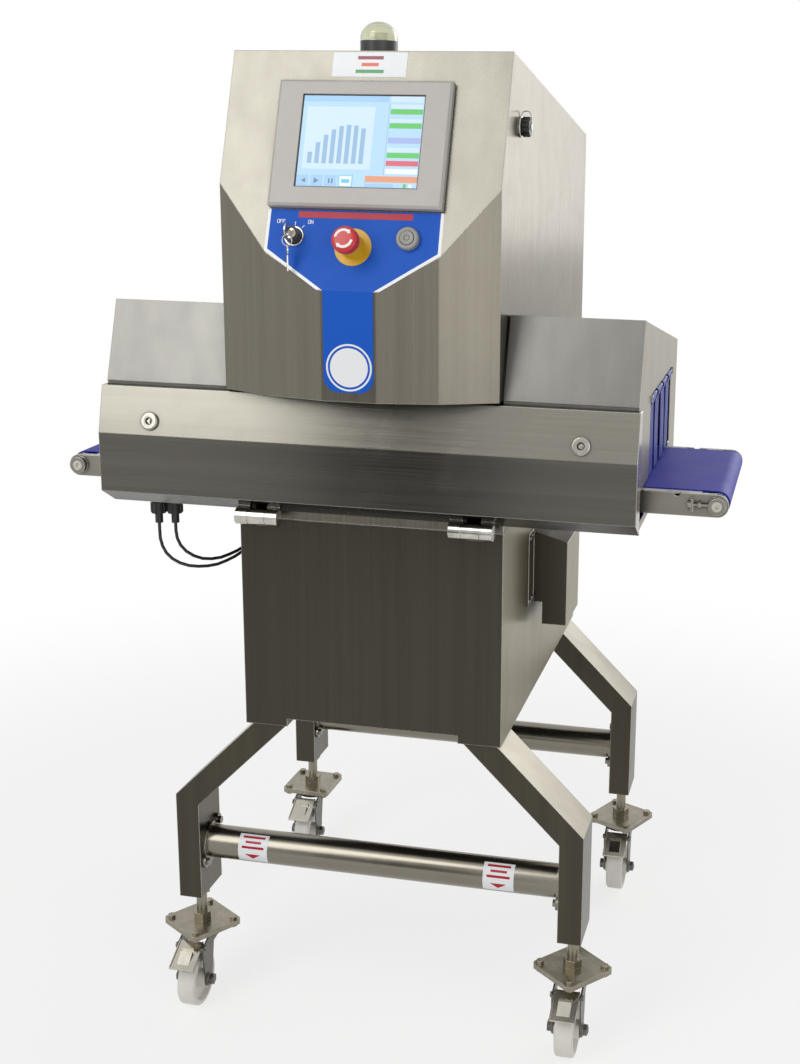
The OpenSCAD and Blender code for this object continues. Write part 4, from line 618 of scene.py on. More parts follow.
wheel_nylon = moulded("cast_white_nylon", "#dddad2", "#e9e7e0", 0.36, ior=1.53)
bed_plastic = moulded("white_pe_slider_bed", "#dfe0de", "#ececea", 0.40, ior=1.54)
grey_paint = moulded("satin_grey_powder_coat", "#b5b0aa", "#bfbab5", 0.44, texture=1.4 * MM, bump=0.25,
                     edge_r=1.6 * MM)
stop_red = moulded("signal_red_abs", "#c21f22", "#d02a2c", 0.30, ior=1.54)
stop_yellow = moulded("signal_yellow_abs", "#cfa010", "#dcae18", 0.38, ior=1.54)
start_grey = moulded("grey_abs_button", "#8f8c86", "#9b9892", 0.40, ior=1.54)
port_black = moulded("black_pa_cap", "#141416", "#202022", 0.42, ior=1.53)
connector_black = moulded("black_pa_connector", "#0f0f10", "#1b1b1d", 0.40, ior=1.53)
beacon_black = moulded("black_pc_beacon_base", "#18181a", "#232325", 0.38, ior=1.58)
lamp_white = moulded("opal_lamp_plastic", "#d9d6b4", "#e6e3c4", 0.45, ior=1.49)
tank_grey = moulded("grey_epoxy_coat", "#74787c", "#83878b", 0.46, texture=2.0 * MM, bump=0.3)
unit_grey = moulded("grey_pc_control_units", "#8b8e90", "#9da0a2", 0.5)

# %% [markdown]
# ## Belt and curtains
# The belt is a food-grade polyurethane belt on a woven core: royal blue, matt on top, with the weave just showing
# through. The weave is two crossed waves about 2 mm apart, which is coarser than the real 0.8 mm so that it shows. A
# wave of scale 1 has crests 0.314 m apart, so the scale is that length divided by the wanted one. The
# curtain strips are flexible blue vinyl with lead in it. They let a little light through.

# %% Belt and strip finishes
WAVE_AT_SCALE_1, WEAVE = 0.314, 2.0 * MM
DIRT_PER_M, HAZE_PER_M = 14.0, 60.0
belt_blue, tree, shader = new_finish("blue_polyurethane_belt", IOR=1.5, Specular_IOR_Level=0.22)
place = add(tree, "ShaderNodeTexCoord")
waves = [add(tree, "ShaderNodeTexWave", {"Vector": place.outputs["Object"], "Scale": WAVE_AT_SCALE_1 / WEAVE,
                                         "Distortion": 0.4, "Detail": 1.0}, bands_direction=way) for way in ("X", "Y")]
cloth = add(tree, "ShaderNodeMath", {0: waves[0].outputs["Fac"], 1: waves[1].outputs["Fac"]}, operation="MULTIPLY")
dirt = add(tree, "ShaderNodeTexNoise", {"Vector": place.outputs["Object"], "Scale": DIRT_PER_M, "Detail": 5.0})
both = add(tree, "ShaderNodeMix", {0: 0.6, 2: cloth, 3: dirt})
tone = add(tree, "ShaderNodeMix", {0: both, 6: linear("#242798"), 7: linear("#3537b0")}, data_type="RGBA")
rough = add(tree, "ShaderNodeMapRange", {"Value": dirt, "To Min": 0.42, "To Max": 0.62})
threads = add(tree, "ShaderNodeBump", {"Height": cloth, "Strength": 0.25, "Distance": 0.0002})
connect(tree, shader, {"Base Color": tone.outputs[2], "Roughness": rough, "Normal": threads})

curtain_blue, tree, shader = new_finish("blue_vinyl_curtain", IOR=1.53, Subsurface_Weight=0.25,
                                        Subsurface_Radius=(0.004, 0.006, 0.02), Subsurface_Scale=0.5,
                                        Specular_IOR_Level=0.2)
haze = mottled(tree, shader, HAZE_PER_M, 4.0, ("#232f86", "#3546a2"), (0.42, 0.58))
ripple = add(tree, "ShaderNodeBump", {"Height": haze, "Strength": 0.2, "Distance": 0.0006})
connect(tree, shader, {"Normal": ripple})

# %% [markdown]
# ## Finishes for the CAD pieces
# Each CAD piece keeps its shape and gets the finish of the real one. The table below is the machine's bill of
# finishes: one line for each, with the pieces that have it.

# %% Give each CAD piece its finish
CORNERS = ("front_left", "front_right", "rear_left", "rear_right")
FINISHES = {
    head_steel: ["head_shell"],
    hood_steel: ["inlet_tunnel", "outlet_tunnel"],
    cover_steel: ["access_cover"],
    cabinet_steel: ["cabinet_shell", "rear_door", "side_cover"],
    leg_steel: [f"leg_{c}" for c in CORNERS],
    frame_steel: ["conveyor_frame"],
    tube_steel: ["fork_tubes"],
    plate_steel: ["caster_mounts"],
    bright_steel: ["hinge_blocks", "drive_drum", "tail_roller", "port_socket", "mode_key", "spare_key"],
    lock_steel: ["cover_locks", "lock_rotor_left", "lock_rotor_right", "rear_lock_rotor"],
    fork_zinc: [f"caster_fork_{c}" for c in CORNERS],
    pedal_steel: [f"caster_brake_{c}" for c in CORNERS],
    wheel_nylon: [f"caster_wheel_{c}" for c in CORNERS],
    bed_plastic: ["slider_bed"],
    belt_blue: ["conveyor_belt"],
    curtain_blue: [f"curtain_{side}_{n}" for side in ("in", "out") for n in (1, 2, 3, 4)],
    grey_paint: ["display_bezel"],
    stop_red: ["estop_button"],
    stop_yellow: ["control_collars"],
    start_grey: ["start_button"],
    beacon_black: ["beacon_base"],
    port_black: ["port_cap"],
    connector_black: ["connectors"],
    sheath: ["cable_front", "cable_rear"],
    tank_grey: ["xray_generator"],
    tank_paint_metal: ["detector"],
    unit_grey: ["control_plate", "touch_screen", "beacon_lens"],
}
for finish, names in FINISHES.items():
    for name in names:
        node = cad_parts[name]
        node.material_slots[0].link = "OBJECT"
        node.material_slots[0].material = finish
left_out = sorted(set(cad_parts) - {name for names in FINISHES.values() for name in names})
print("CAD pieces without a finish:", left_out)

# %% [markdown]
# ## Places on the head's slope
# The screen, the buttons and the blue panel all lie on the head's sloped face. It leans back 0.37 for each step up, so
# it is easiest to work in the slope's own directions: u to the right, v up the slope and w out of it. The slope starts
# from its own zero, at height 332.5 above the head's underside, where it meets the drawing's front plane.

# %% Slope and facet helpers
HEAD_Z, FOLD_H, LEAN = 1186.5, 332.5, 0.37
SLOPE = math.atan(LEAN)
SLOPE_UP = Vector((0, math.sin(SLOPE), math.cos(SLOPE)))
SLOPE_OUT = Vector((0, -math.cos(SLOPE), math.sin(SLOPE)))
FACET_Y = -58.5


def on_slope(x, h):
    """A function that puts (u, v, w) on the slope, from the point at x and at height h above the head's underside."""
    return on_axes((x, LEAN * (h - FOLD_H), HEAD_Z + h), X_WAY, SLOPE_UP, SLOPE_OUT)


def as_slope(points):
    """The same points, with each drawing height turned to how far up the slope it lies."""
    return [(x, (z - HEAD_Z) / math.cos(SLOPE)) for x, z in points]


on_facet = on_axes((0, FACET_Y, 0), X_WAY, Z_WAY, -Y_WAY)
print("slope leans", round(math.degrees(SLOPE), 1), "degrees")

# %% [markdown]
# ## The blue control panel
# The panel is one printed polyester label, 0.3 mm thick, with a white edge line. It fills the slope between the screen
# and the fold, follows the fold down like a funnel, and runs on down the narrow middle facet to a round end. A label is
# printed, so its colour is even, but its gloss isn't: it has a fine orange-peel texture. It is made as a white plate
# with a blue plate on it, each thinner than half a millimetre, and bent over the fold where the two faces meet.

# %% Printed label finishes


def printed(name, tone, roughness=0.32, gloss=0.5):
    """Printed polyester film with a light texture."""
    return moulded(name, tone, tone, roughness, ior=1.57, texture=0.6 * MM, bump=0.05, edge_r=0.1 * MM,
                   Specular_IOR_Level=gloss)


label_blue = printed("blue_printed_polyester", "#0b56c0", 0.5, gloss=0.2)
label_white = printed("white_printed_polyester", "#eceef0")
label_red = printed("red_printed_polyester", "#b2162c", gloss=0.25)
label_green = printed("green_printed_polyester", "#3f9a58")
label_orange = printed("orange_printed_polyester", "#e0664a")
label_maroon = printed("dark_red_printed_polyester", "#8f2f4a")

# %% Blue panel and its strip
EDGE, CORNER_W, STRIP_ROUND, LAP = 5.0, 10, 24, 0.06
PANEL_TOP_Z, PANEL_SIDE_Z, STRIP_END_Z = 1481.0, 1420.5, 1201.5
PANEL_HALF, SHOULDER_HALF, STRIP_HALF = 138.0, 138.5, 41.0
FOLD_Z = HEAD_Z + FOLD_H + FACET_Y / LEAN
INK_LOW, EDGE_HIGH, INK_HIGH = 0.02, 0.18, 0.34
panel_place = on_slope(0, 0)
funnel = [(-PANEL_HALF, PANEL_TOP_Z), (-SHOULDER_HALF, PANEL_SIDE_Z), (-STRIP_HALF, FOLD_Z - LAP),
          (STRIP_HALF, FOLD_Z - LAP), (SHOULDER_HALF, PANEL_SIDE_Z), (PANEL_HALF, PANEL_TOP_Z)]
edge_line = [(-PANEL_HALF - EDGE, PANEL_TOP_Z), (-SHOULDER_HALF - EDGE, PANEL_SIDE_Z - EDGE / 2),
             (-STRIP_HALF - CORNER_W, FOLD_Z + 0.5), (STRIP_HALF + CORNER_W, FOLD_Z + 0.5),
             (SHOULDER_HALF + EDGE, PANEL_SIDE_Z - EDGE / 2), (PANEL_HALF + EDGE, PANEL_TOP_Z)]
strip = [(-STRIP_HALF, FOLD_Z + LAP), (-STRIP_HALF, STRIP_END_Z + STRIP_ROUND)]
strip += arc(-STRIP_HALF + STRIP_ROUND, STRIP_END_Z + STRIP_ROUND, STRIP_ROUND, 180, 270, 8)[1:]
strip += arc(STRIP_HALF - STRIP_ROUND, STRIP_END_Z + STRIP_ROUND, STRIP_ROUND, 270, 360, 8)
strip += [(STRIP_HALF, FOLD_Z + LAP)]
panel = joined("control_panel_label", [
    (1, flat("edge", as_slope(edge_line), panel_place, INK_LOW, EDGE_HIGH)),
    (0, flat("face", as_slope(funnel), panel_place, INK_LOW, INK_HIGH)),
    (0, flat("strip", strip, on_facet, INK_LOW, INK_HIGH))])
piece("control_panel_label", panel, [label_blue, label_white], "machine")

BADGE_X, BADGE_Z, BADGE_R = 1, 1241.5, 37.5
badge = joined("round_badge", [
    (number, flat("disc", arc(BADGE_X, BADGE_Z, BADGE_R - inside, 0, 354, 59), on_facet, 0.05, high))
    for number, inside, high in ((0, 0, 0.42), (1, 3, 0.46), (0, 6.5, 0.50))])
piece("round_badge", badge, [label_white, label_blue], "machine")

RED_STRIP = (-92, 1469.0, 94, 1478.5)
red = flat("red_strip", round_corners(as_slope(box_outline(*RED_STRIP)), 1.5), panel_place, 0.1, 0.5)
piece("red_strip_label", red, label_red, "machine")

STICKER, BAR_HALF = (-62, 1685, 60, 1723), 2.6
bars = [(0, STICKER, 0.02, 0.3)]
for number, (half, z) in enumerate(((21, 1714.5), (14, 1704), (23, 1693.5)), 1):
    bars.append((number, (-half, z - BAR_HALF, half, z + BAR_HALF), 0.1, 0.42))
sticker = joined("state_sticker", [
    (number, flat("bar", as_slope(box_outline(*outline)), panel_place, low, high))
    for number, outline, low, high in bars])
piece("state_sticker", sticker, [label_white, label_maroon, label_orange, label_green], "machine")
print("panel label is", 2 * PANEL_HALF, "mm wide")

# %% [markdown]
# ## The screen
# The touch screen is a lit liquid-crystal panel behind a resistive film. It shines by itself, a little blue, so its
# finish has a weak emission under a satin film. The picture on it is a plain operator page: a title bar, a column of
# result fields, a message field and a row of keys. Each field is a thin plate just above the film, so that its edges
# stay sharp from near by.

# %% Screen finishes
PIXELS_PER_M, GLOWS_PER_M = 900.0, 9.0


def lit(name, tone, strength=0.35):
    """A lit field on the screen: the same tone as paint and as light, under a satin film."""
    material, tree, shader = new_finish(name, IOR=1.49, Roughness=0.26)
    place = add(tree, "ShaderNodeTexCoord")
    pixels = add(tree, "ShaderNodeTexNoise", {"Vector": place.outputs["Object"], "Scale": PIXELS_PER_M,
                                              "Detail": 1.0})
    glow = add(tree, "ShaderNodeTexNoise", {"Vector": place.outputs["Object"], "Scale": GLOWS_PER_M, "Detail": 1.0})
    both = add(tree, "ShaderNodeMix", {0: 0.6, 2: pixels, 3: glow})
    level = add(tree, "ShaderNodeMapRange", {"Value": both, "To Min": 0.92, "To Max": 1.08})
    shade = add(tree, "ShaderNodeVectorMath", {0: linear(tone)[:3], "Scale": level}, operation="SCALE")
    paint = add(tree, "ShaderNodeVectorMath", {0: shade, "Scale": 1 - strength}, operation="SCALE")
    connect(tree, shader, {"Base Color": paint, "Emission Color": shade, "Emission Strength": strength})
    return material


SCREEN_TONES = {"page": "#b4dcfa", "bar": "#9fcdf4", "pale": "#cfe8fb", "green": "#52c552", "lavender": "#a3b4ec",
                "red": "#dd5568", "white": "#eef5fa", "orange": "#e6966c", "ink": "#4d7f96", "line": "#8fb7dc",
                "cyan": "#5cc8e6"}
SCREEN = {name: lit("screen_" + name, tone) for name, tone in SCREEN_TONES.items()}
ORDER = list(SCREEN)
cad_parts["touch_screen"].material_slots[0].material = SCREEN["page"]
print("screen has", len(ORDER), "tones")

# %% Operator page
SCREEN_W, SCREEN_H, DISPLAY_H, SCREEN_UP, SCREEN_OUT = 200, 151, 393, 3, 12
screen_place = on_slope(0, DISPLAY_H)


def sign(tone, points, lift=0.35):
    """A thin plate, whose points are parts of the screen's width and height from its upper left corner."""
    outline = [(SCREEN_W * (x - 0.5), SCREEN_H * (0.5 - y) + SCREEN_UP) for x, y in points]
    return ORDER.index(tone), flat("field", outline, screen_place, SCREEN_OUT + 0.01, SCREEN_OUT + lift)


def field(tone, left, top, right, bottom, lift=0.15):
    """A field on the page: a sign in the shape of a box."""
    return sign(tone, box_outline(left, bottom, right, top), lift)


fields = [field(*row) for row in (
    ("bar", 0.01, 0.01, 0.705, 0.075), ("pale", 0.72, 0.01, 0.985, 0.075), ("pale", 0.045, 0.13, 0.60, 0.80),
    ("line", 0.712, 0.09, 0.716, 0.85), ("pale", 0.725, 0.10, 0.985, 0.145), ("green", 0.725, 0.15, 0.985, 0.205),
    ("pale", 0.725, 0.255, 0.985, 0.29), ("green", 0.725, 0.30, 0.985, 0.355),
    ("lavender", 0.725, 0.455, 0.985, 0.515), ("pale", 0.725, 0.56, 0.985, 0.605),
    ("green", 0.725, 0.615, 0.985, 0.67), ("red", 0.725, 0.70, 0.985, 0.755), ("white", 0.725, 0.785, 0.985, 0.84),
    ("orange", 0.57, 0.865, 0.99, 0.93), ("bar", 0.01, 0.865, 0.11, 0.985), ("bar", 0.125, 0.865, 0.225, 0.985),
    ("bar", 0.24, 0.865, 0.34, 0.985), ("cyan", 0.355, 0.86, 0.47, 0.99), ("white", 0.363, 0.87, 0.462, 0.98, 0.25),
    ("bar", 0.57, 0.945, 0.80, 0.985))]
fields += [sign("ink", [(0.085, 0.90), (0.05, 0.925), (0.085, 0.95)]),
           sign("ink", [(0.155, 0.895), (0.195, 0.925), (0.155, 0.955)])]
fields += [field(*row) for row in (
    ("ink", 0.272, 0.90, 0.284, 0.95, 0.35), ("ink", 0.298, 0.90, 0.310, 0.95, 0.35),
    ("cyan", 0.38, 0.905, 0.445, 0.945, 0.35), ("green", 0.88, 0.945, 0.905, 0.985),
    ("white", 0.925, 0.945, 0.95, 0.985))]
HILL = 3.08
for k in range(8):
    middle = 0.10 + 0.06 * k
    top = 0.62 - HILL * (middle - 0.1) * (0.72 - middle)
    fields.append(field("line", middle - 0.018, top, middle + 0.018, 0.74, 0.25))
# The black frame round the screen is a seal, and also painted shade where the bezel's recess meets the screen.
GASKET = 1.8
left, right, low, high = -SCREEN_W / 2, SCREEN_W / 2, SCREEN_UP - SCREEN_H / 2, SCREEN_UP + SCREEN_H / 2
gasket_and_shade = [(0, flat("gasket_and_shade", box_outline(*corners), screen_place, SCREEN_OUT + 0.01, SCREEN_OUT + 0.5))
          for corners in ((left, low, left + GASKET, high), (right - GASKET, low, right, high),
                          (left, high - GASKET, right, high), (left, low, right, low + GASKET))]
piece("screen_gasket", joined("screen_gasket", gasket_and_shade), port_black, "machine")
page = joined("operator_page", fields)
piece("operator_page", page, [SCREEN[name] for name in ORDER], "machine")
print("operator page has", len(fields), "fields")

# %% [markdown]
# ## Panel controls
# The controls are ordinary 22 mm panel parts. The emergency stop is a red mushroom head on a yellow collar and a
# yellow disc. The key switch has a bright bezel round a black barrel and a bright core. The start button is a grey cap
# in a grey rubber ring. They are turned parts, so each is a profile spun round the control's own axis, with the small
# radii that catch the light. The red head has two white curved arrows printed on its dome.

# %% Emergency stop
STOP_X, STOP_H, KEY_X, START_X, CONTROLS_H = 2, 240, -96, 90, 254
stop_place = on_slope(STOP_X, STOP_H)
key_place, start_place = on_slope(KEY_X, CONTROLS_H), on_slope(START_X, CONTROLS_H)
STOP_R, STOP_LOW, STOP_HIGH, RIM_W, RIM_H = 21, 29, 51, 7.5, 6.8
DOME_FLAT_R, DOME_FALL = 13.5, 11
stop_disc = turned("stop_disc", [(7.3, 0.1), (30, 0.1), (30, 1.4), (29.4, 2.0), (20.5, 2.0), (20.0, 1.6), (19.6, 2.0),
                                 (19, 2.0), (18.9, 3.5), (17.6, 10), (15.6, 18), (14, 24), (7.3, 24)], stop_place,
                   steps=72, close=True)
made = piece("stop_disc_and_collar", stop_disc, stop_yellow, "machine")
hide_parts("control_collars")
red_profile = [(0, STOP_LOW), (15, STOP_LOW), (17.5, STOP_LOW + 0.6), (19.4, STOP_LOW + 1.6), (20.5, STOP_LOW + 3.2),
               (STOP_R, STOP_LOW + 5.5), (STOP_R, STOP_HIGH - 7.8)]
red_profile += [(STOP_R - RIM_W + polar(RIM_W, a)[0], STOP_HIGH - 0.7 - RIM_H + polar(RIM_H, a)[1])
                for a in range(8, 91, 10)]
red_profile += [(9, STOP_HIGH - 0.25), (0, STOP_HIGH - 0.02)]
stop_head = turned("stop_head", red_profile, stop_place, steps=72)
stop_neck = turned("stop_neck", [(0, -28), (6.9, -28), (6.9, STOP_LOW + 0.5), (0, STOP_LOW + 0.5)], stop_place)


def curved_arrow(start, inner=11.2, outer=15.4, sweep=114, tip=22):
    """The outline of an arrow that follows the rim of the red head. Its tip lies before the start."""
    shaft = arc(0, 0, outer, start, start + sweep, 12) + arc(0, 0, inner, start + sweep, start, 12)
    return shaft + [polar(inner - 2, start), polar((inner + outer) / 2, start - tip), polar(outer + 2, start)]


def on_dome(x, y, h):
    """Places on the red head's domed top."""
    return stop_place(x, y, STOP_HIGH - 0.04 - max(0, math.hypot(x, y) - DOME_FLAT_R) ** 2 / DOME_FALL + h)


white_print = moulded("white_pad_print", "#e9e6e2", "#f2f0ec", 0.35, ior=1.5)
stop_parts = joined("stop_button", [(0, stop_head), (0, stop_neck)] + [
    (1, flat("arrow", curved_arrow(start), on_dome, -0.6, 0.05)) for start in (58, 238)])
made = piece("stop_button", stop_parts, [stop_red, white_print], "stop")
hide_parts("estop_button")
print("stop button is", 2 * STOP_R, "mm wide")

# %% [markdown]
# The key switch and the start button are turned parts too. Printed round the key are three tick marks with the words
# for off and on, drawn as thin strokes. The start cap has the usual sign for power, an open ring with a bar.

# %% Key switch and start button
bezel_ring = turned("key_bezel", [(12.6, 0.1), (16, 0.1), (16, 2.0), (15.4, 2.8), (13.6, 3.0), (12.6, 2.5)], key_place,
                    close=True)
piece("key_bezel", bezel_ring, bright_steel, "machine")
barrel = turned("key_barrel", [(8.2, 0.1), (12.5, 0.1), (12.5, 14.9), (11.7, 15.8), (9.0, 16), (8.2, 15.6)], key_place,
                close=True)
piece("key_barrel", barrel, port_black, "machine")
ring = turned("start_ring", [(11.45, 0.1), (18, 0.1), (18, 7.9)] + arc(15, 8, 3, 0, 90, 5)
              + [(12.4, 11), (11.6, 10.5)], start_place, close=True)
piece("start_ring", ring, start_grey, "machine")
for name, place in (("stop", stop_place), ("key", key_place), ("start", start_place)):
    block = turned(name + "_contacts", [(8.6, -34), (15, -34), (15, -3.2), (8.6, -3.2)], place, steps=24, close=True)
    piece(name + "_contacts", block, port_black, "machine")


def stroke(place, points, width, low, high):
    """A thin line through the points, as one short plate for each stretch."""
    parts = []
    for (x0, y0), (x1, y1) in zip(points, points[1:]):
        way = Vector((x1 - x0, y1 - y0)).normalized() * width / 2
        side = Vector((-way.y, way.x))
        ends = [Vector((x0, y0)) - way, Vector((x1, y1)) + way]
        outline = [tuple(ends[0] - side), tuple(ends[1] - side), tuple(ends[1] + side), tuple(ends[0] + side)]
        parts.append(flat("stroke", outline, place, low, high))
    return parts


LETTERS = {"O": [[(0, 0), (0, 1), (0.6, 1), (0.6, 0), (0, 0)]], "N": [[(0, 0), (0, 1), (0.6, 0), (0.6, 1)]],
           "F": [[(0, 0), (0, 1), (0.6, 1)], [(0, 0.55), (0.5, 0.55)]]}
LETTER_H, LETTER_BASE, LETTER_PITCH, LINE_W, TICK_W, PRINT_LOW, PRINT_HIGH = 5.5, 21, 0.85, 0.9, 1.1, 0.3, 0.42
print_lines = []
for angle in (50, 90, 130):
    print_lines += stroke(key_place, [polar(18.5, angle), polar(23, angle)], TICK_W, PRINT_LOW, PRINT_HIGH)
for word, left in (("OFF", -30), ("ON", 21)):
    for number, letter in enumerate(word):
        for line in LETTERS[letter]:
            spot = [(left + LETTER_H * (number * LETTER_PITCH + x), LETTER_BASE + LETTER_H * y) for x, y in line]
            print_lines += stroke(key_place, spot, LINE_W, PRINT_LOW, PRINT_HIGH)
marks = joined("key_marks", [(0, part) for part in print_lines])
piece("key_marks", marks, label_white, "machine")

cap_profile = [(0, 4.5), (11, 4.5), (11, 11.7), (10.5, 12.3), (9.6, 12.5), (8.9, 12.3), (8.4, 12.15), (0, 12.1)]
start_cap = turned("start_cap", cap_profile, start_place)
power = arc(0, 0, 4.2, 125, 415, 20)
power_sign = stroke(start_place, power, LINE_W, 12.0, 12.25)
power_sign += stroke(start_place, [(0, 2.2), (0, 5.6)], LINE_W, 12.0, 12.27)
cap_mesh = joined("start_cap", [(0, start_cap)] + [(1, part) for part in power_sign])
made = piece("start_cap", cap_mesh, [start_grey, port_black], "start")
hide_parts("start_button")
print("key switch and start button have", len(print_lines) + len(power_sign), "printed strokes")

# %% [markdown]
# ## The beacon
# The lamp on the roof sits under a clear polycarbonate dome, 2 mm thick, with a slight green tint. The rings moulded
# into it spread the light, and show as faint level lines. Under it stands an opal lamp on the black base.

# %% Clear dome and lamp
DOME_HAZE_PER_M, RING_PITCH = 40.0, 3.5 * MM
dome_clear, tree, shader = new_finish("clear_green_polycarbonate", IOR=1.585, Transmission_Weight=0.82)
mottled(tree, shader, DOME_HAZE_PER_M, 3.0, ("#f0f1d8", "#f8f8e8"), (0.06, 0.16))
place = add(tree, "ShaderNodeTexCoord")
rings = add(tree, "ShaderNodeTexWave", {"Vector": place.outputs["Object"], "Scale": WAVE_AT_SCALE_1 / RING_PITCH},
            bands_direction="Z")
lens_rings = add(tree, "ShaderNodeBump", {"Height": rings.outputs["Fac"], "Strength": 0.35, "Distance": 0.0006})
connect(tree, shader, {"Normal": lens_rings})

BEACON_Y, BASE_H, DOME_R, DOME_H, DOME_STRAIGHT, DOME_WALL = 116, 24, 30, 30, 4, 2
ROOF_FALL, TOP_Y = 0.17766, 76.4
beacon_z = HEAD_TOP - ROOF_FALL * (BEACON_Y - TOP_Y)
beacon_place = on_axes((0, BEACON_Y, beacon_z), X_WAY, Y_WAY, Z_WAY)


def dome_line(radius, height):
    """The dome's line from its foot to its top, which lies on the axis."""
    rise = height - DOME_STRAIGHT
    line = [(polar(radius, a)[0], BASE_H + DOME_STRAIGHT + polar(rise, a)[1]) for a in (*range(0, 81, 8), 86)]
    return [(radius, BASE_H + 0.1)] + line + [(0, BASE_H + DOME_STRAIGHT + rise)]


outer = dome_line(DOME_R - 0.05, DOME_H - 0.05)
inner = dome_line(DOME_R - DOME_WALL, DOME_H - DOME_WALL)
dome = turned("beacon_dome", outer + inner[::-1], beacon_place, steps=72, close=True)
made = piece("beacon_dome", dome, dome_clear, "machine")
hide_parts("beacon_lens")
lamp_line = [(13.05, BASE_H + 0.2), (13.6, BASE_H + 0.2), (13.6, BASE_H + 10)] + arc(
    11.6, BASE_H + 11, 2, 0, 90, 4) + [(0, BASE_H + 13.2), (0, BASE_H + 12.05), (13.05, BASE_H + 12.05)]
lamp = turned("beacon_lamp", lamp_line, beacon_place, close=True)
piece("beacon_lamp", lamp, lamp_white, "machine")
print("beacon top at", round(beacon_z + BASE_H + DOME_H, 1), "mm")

# %% [markdown]
# ## The service port
# A small service plug sits on the head's right side: a bright flange and neck, and a black ribbed cap that a wire
# keeps from getting lost. The wire is stiff 1.8 mm stainless, so it keeps its loop when the cap is on.

# %% Port flange, wire and ribbed cap
PORT_Y, PORT_Z, PORT_X = 130, 1612.5, 230
port_place = on_axes((PORT_X, PORT_Y, PORT_Z), Z_WAY, Y_WAY, X_WAY)

flange = turned("port_flange", [(8.6, 0.1), (17, 0.1), (17, 2.2), (16.2, 3), (11.4, 3), (11, 3.4), (11, 12.6),
                                (10.6, 13), (9, 13), (8.6, 12.6)], port_place, close=True)
made = piece("port_flange", flange, bright_steel, "machine")
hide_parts("port_socket")


def through(points, steps=6):
    """A smooth line through the points."""
    line, n = [], len(points)
    for i in range(n - 1):
        a, b = Vector(points[max(i - 1, 0)]), Vector(points[i])
        c, d = Vector(points[i + 1]), Vector(points[min(i + 2, n - 1)])
        for k in range(steps):
            t = k / steps
            line.append((b * 2 + (c - a) * t + (a * 2 - b * 5 + c * 4 - d) * t ** 2
                         + (b * 3 - a - c * 3 + d) * t ** 3) / 2)
    return line + [Vector(points[-1])]


loop = through([(14, 0, 2.0), (18, 0, 2.1), (23, 0, 4.5), (24.5, 0, 9.5), (23, 0, 15), (17, 0, 18.2), (9, 0, 18.6),
                (4.2, 0, 18.5)])
wire = round_curve("port_wire", [port_place(*p) for p in loop], 0.9, 4)
piece("port_wire", wire, bright_steel, "machine")
eye = turned("port_wire_eye", [(2.2, 17.6), (4.4, 17.6), (4.4, 19.2), (2.2, 19.2)], port_place, steps=24, close=True)
piece("port_wire_eye", eye, bright_steel, "machine")

CAP_LOW, CAP_HIGH, CAP_R, RIBS, RIB_FOOT, RIB_H, TOP_SHARE = 3.5, 17.0, 14.5, 12, 0.4, 1.7, 0.86


def ribbed(angle):
    """The cap's radius at this angle: twelve soft ribs."""
    return CAP_R - RIB_FOOT + RIB_H * max(0, math.cos(RIBS * angle)) ** 2


RIM = [(0.95, CAP_LOW), (1.0, CAP_LOW + 0.8), (1.0, CAP_HIGH - 1.6), (0.97, CAP_HIGH - 0.7), (0.92, CAP_HIGH - 0.1),
       (TOP_SHARE, CAP_HIGH)]
CAP_STEPS = 144
cap_points, cap_faces = [], []
for share, height in RIM:
    for k in range(CAP_STEPS):
        angle = 2 * math.pi * k / CAP_STEPS
        radius = ribbed(angle) * share if share > 0.9 else CAP_R * share
        cap_points.append(port_place(radius * math.cos(angle), radius * math.sin(angle), height))
for low in range(len(RIM) - 1):
    a, b = low * CAP_STEPS, (low + 1) * CAP_STEPS
    cap_faces += [(a + k, a + (k + 1) % CAP_STEPS, b + (k + 1) % CAP_STEPS, b + k) for k in range(CAP_STEPS)]
cap_side = mesh("cap_side", cap_points, cap_faces)
cap_top = turned("cap_top", [(CAP_R * TOP_SHARE, CAP_HIGH), (8, CAP_HIGH), (7.4, CAP_HIGH - 0.5), (0, CAP_HIGH - 0.5)],
                 port_place, steps=CAP_STEPS)
cap_inside = turned("cap_inside", [(CAP_R * 0.95 - RIB_FOOT, CAP_LOW), (11.5, CAP_LOW), (11.5, 13.4), (0, 13.4)],
                    port_place, steps=48)
cap_mesh = joined("port_cap", [(0, cap_side), (0, cap_top), (0, cap_inside)])
made = piece("port_cap_ribbed", cap_mesh, port_black, "cap")
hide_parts("port_cap")
print("cap has", RIBS, "ribs")

# %% [markdown]
# ## Hinge sleeves
# The front cover turns on two hinges. Their outer knuckles are welded to the cover but turned from bright bar, so each
# gets a thin bright sleeve over the cover's brushed finish. The sleeves swing with the cover.

# %% Bright knuckles on the cover
HINGE_X, HINGE_Y, HINGE_Z, HINGE_R, HINGE_HALF, HINGE_MID = 184, 8, 970.5, 14, 37, 15.4
END_LAP, SLEEVE_OVER, CHAMFER, BORE_R = 0.12, 0.14, 0.8, 5.5
sleeves = []
for side in (-1, 1):
    hinge_place = on_axes((side * HINGE_X, HINGE_Y, HINGE_Z), Y_WAY, Z_WAY, X_WAY)
    for low, high in ((-HINGE_HALF, -HINGE_MID), (HINGE_MID, HINGE_HALF)):
        low, high = low - END_LAP, high + END_LAP
        sleeves.append((0, turned("sleeve", [
            (BORE_R, low), (HINGE_R - CHAMFER, low), (HINGE_R + SLEEVE_OVER, low + CHAMFER),
            (HINGE_R + SLEEVE_OVER, high - CHAMFER), (HINGE_R - CHAMFER, high), (BORE_R, high)],
            hinge_place, close=True)))
piece("hinge_sleeves", joined("hinge_sleeves", sleeves), bright_steel, "cover")
print("hinge sleeves:", len(sleeves))

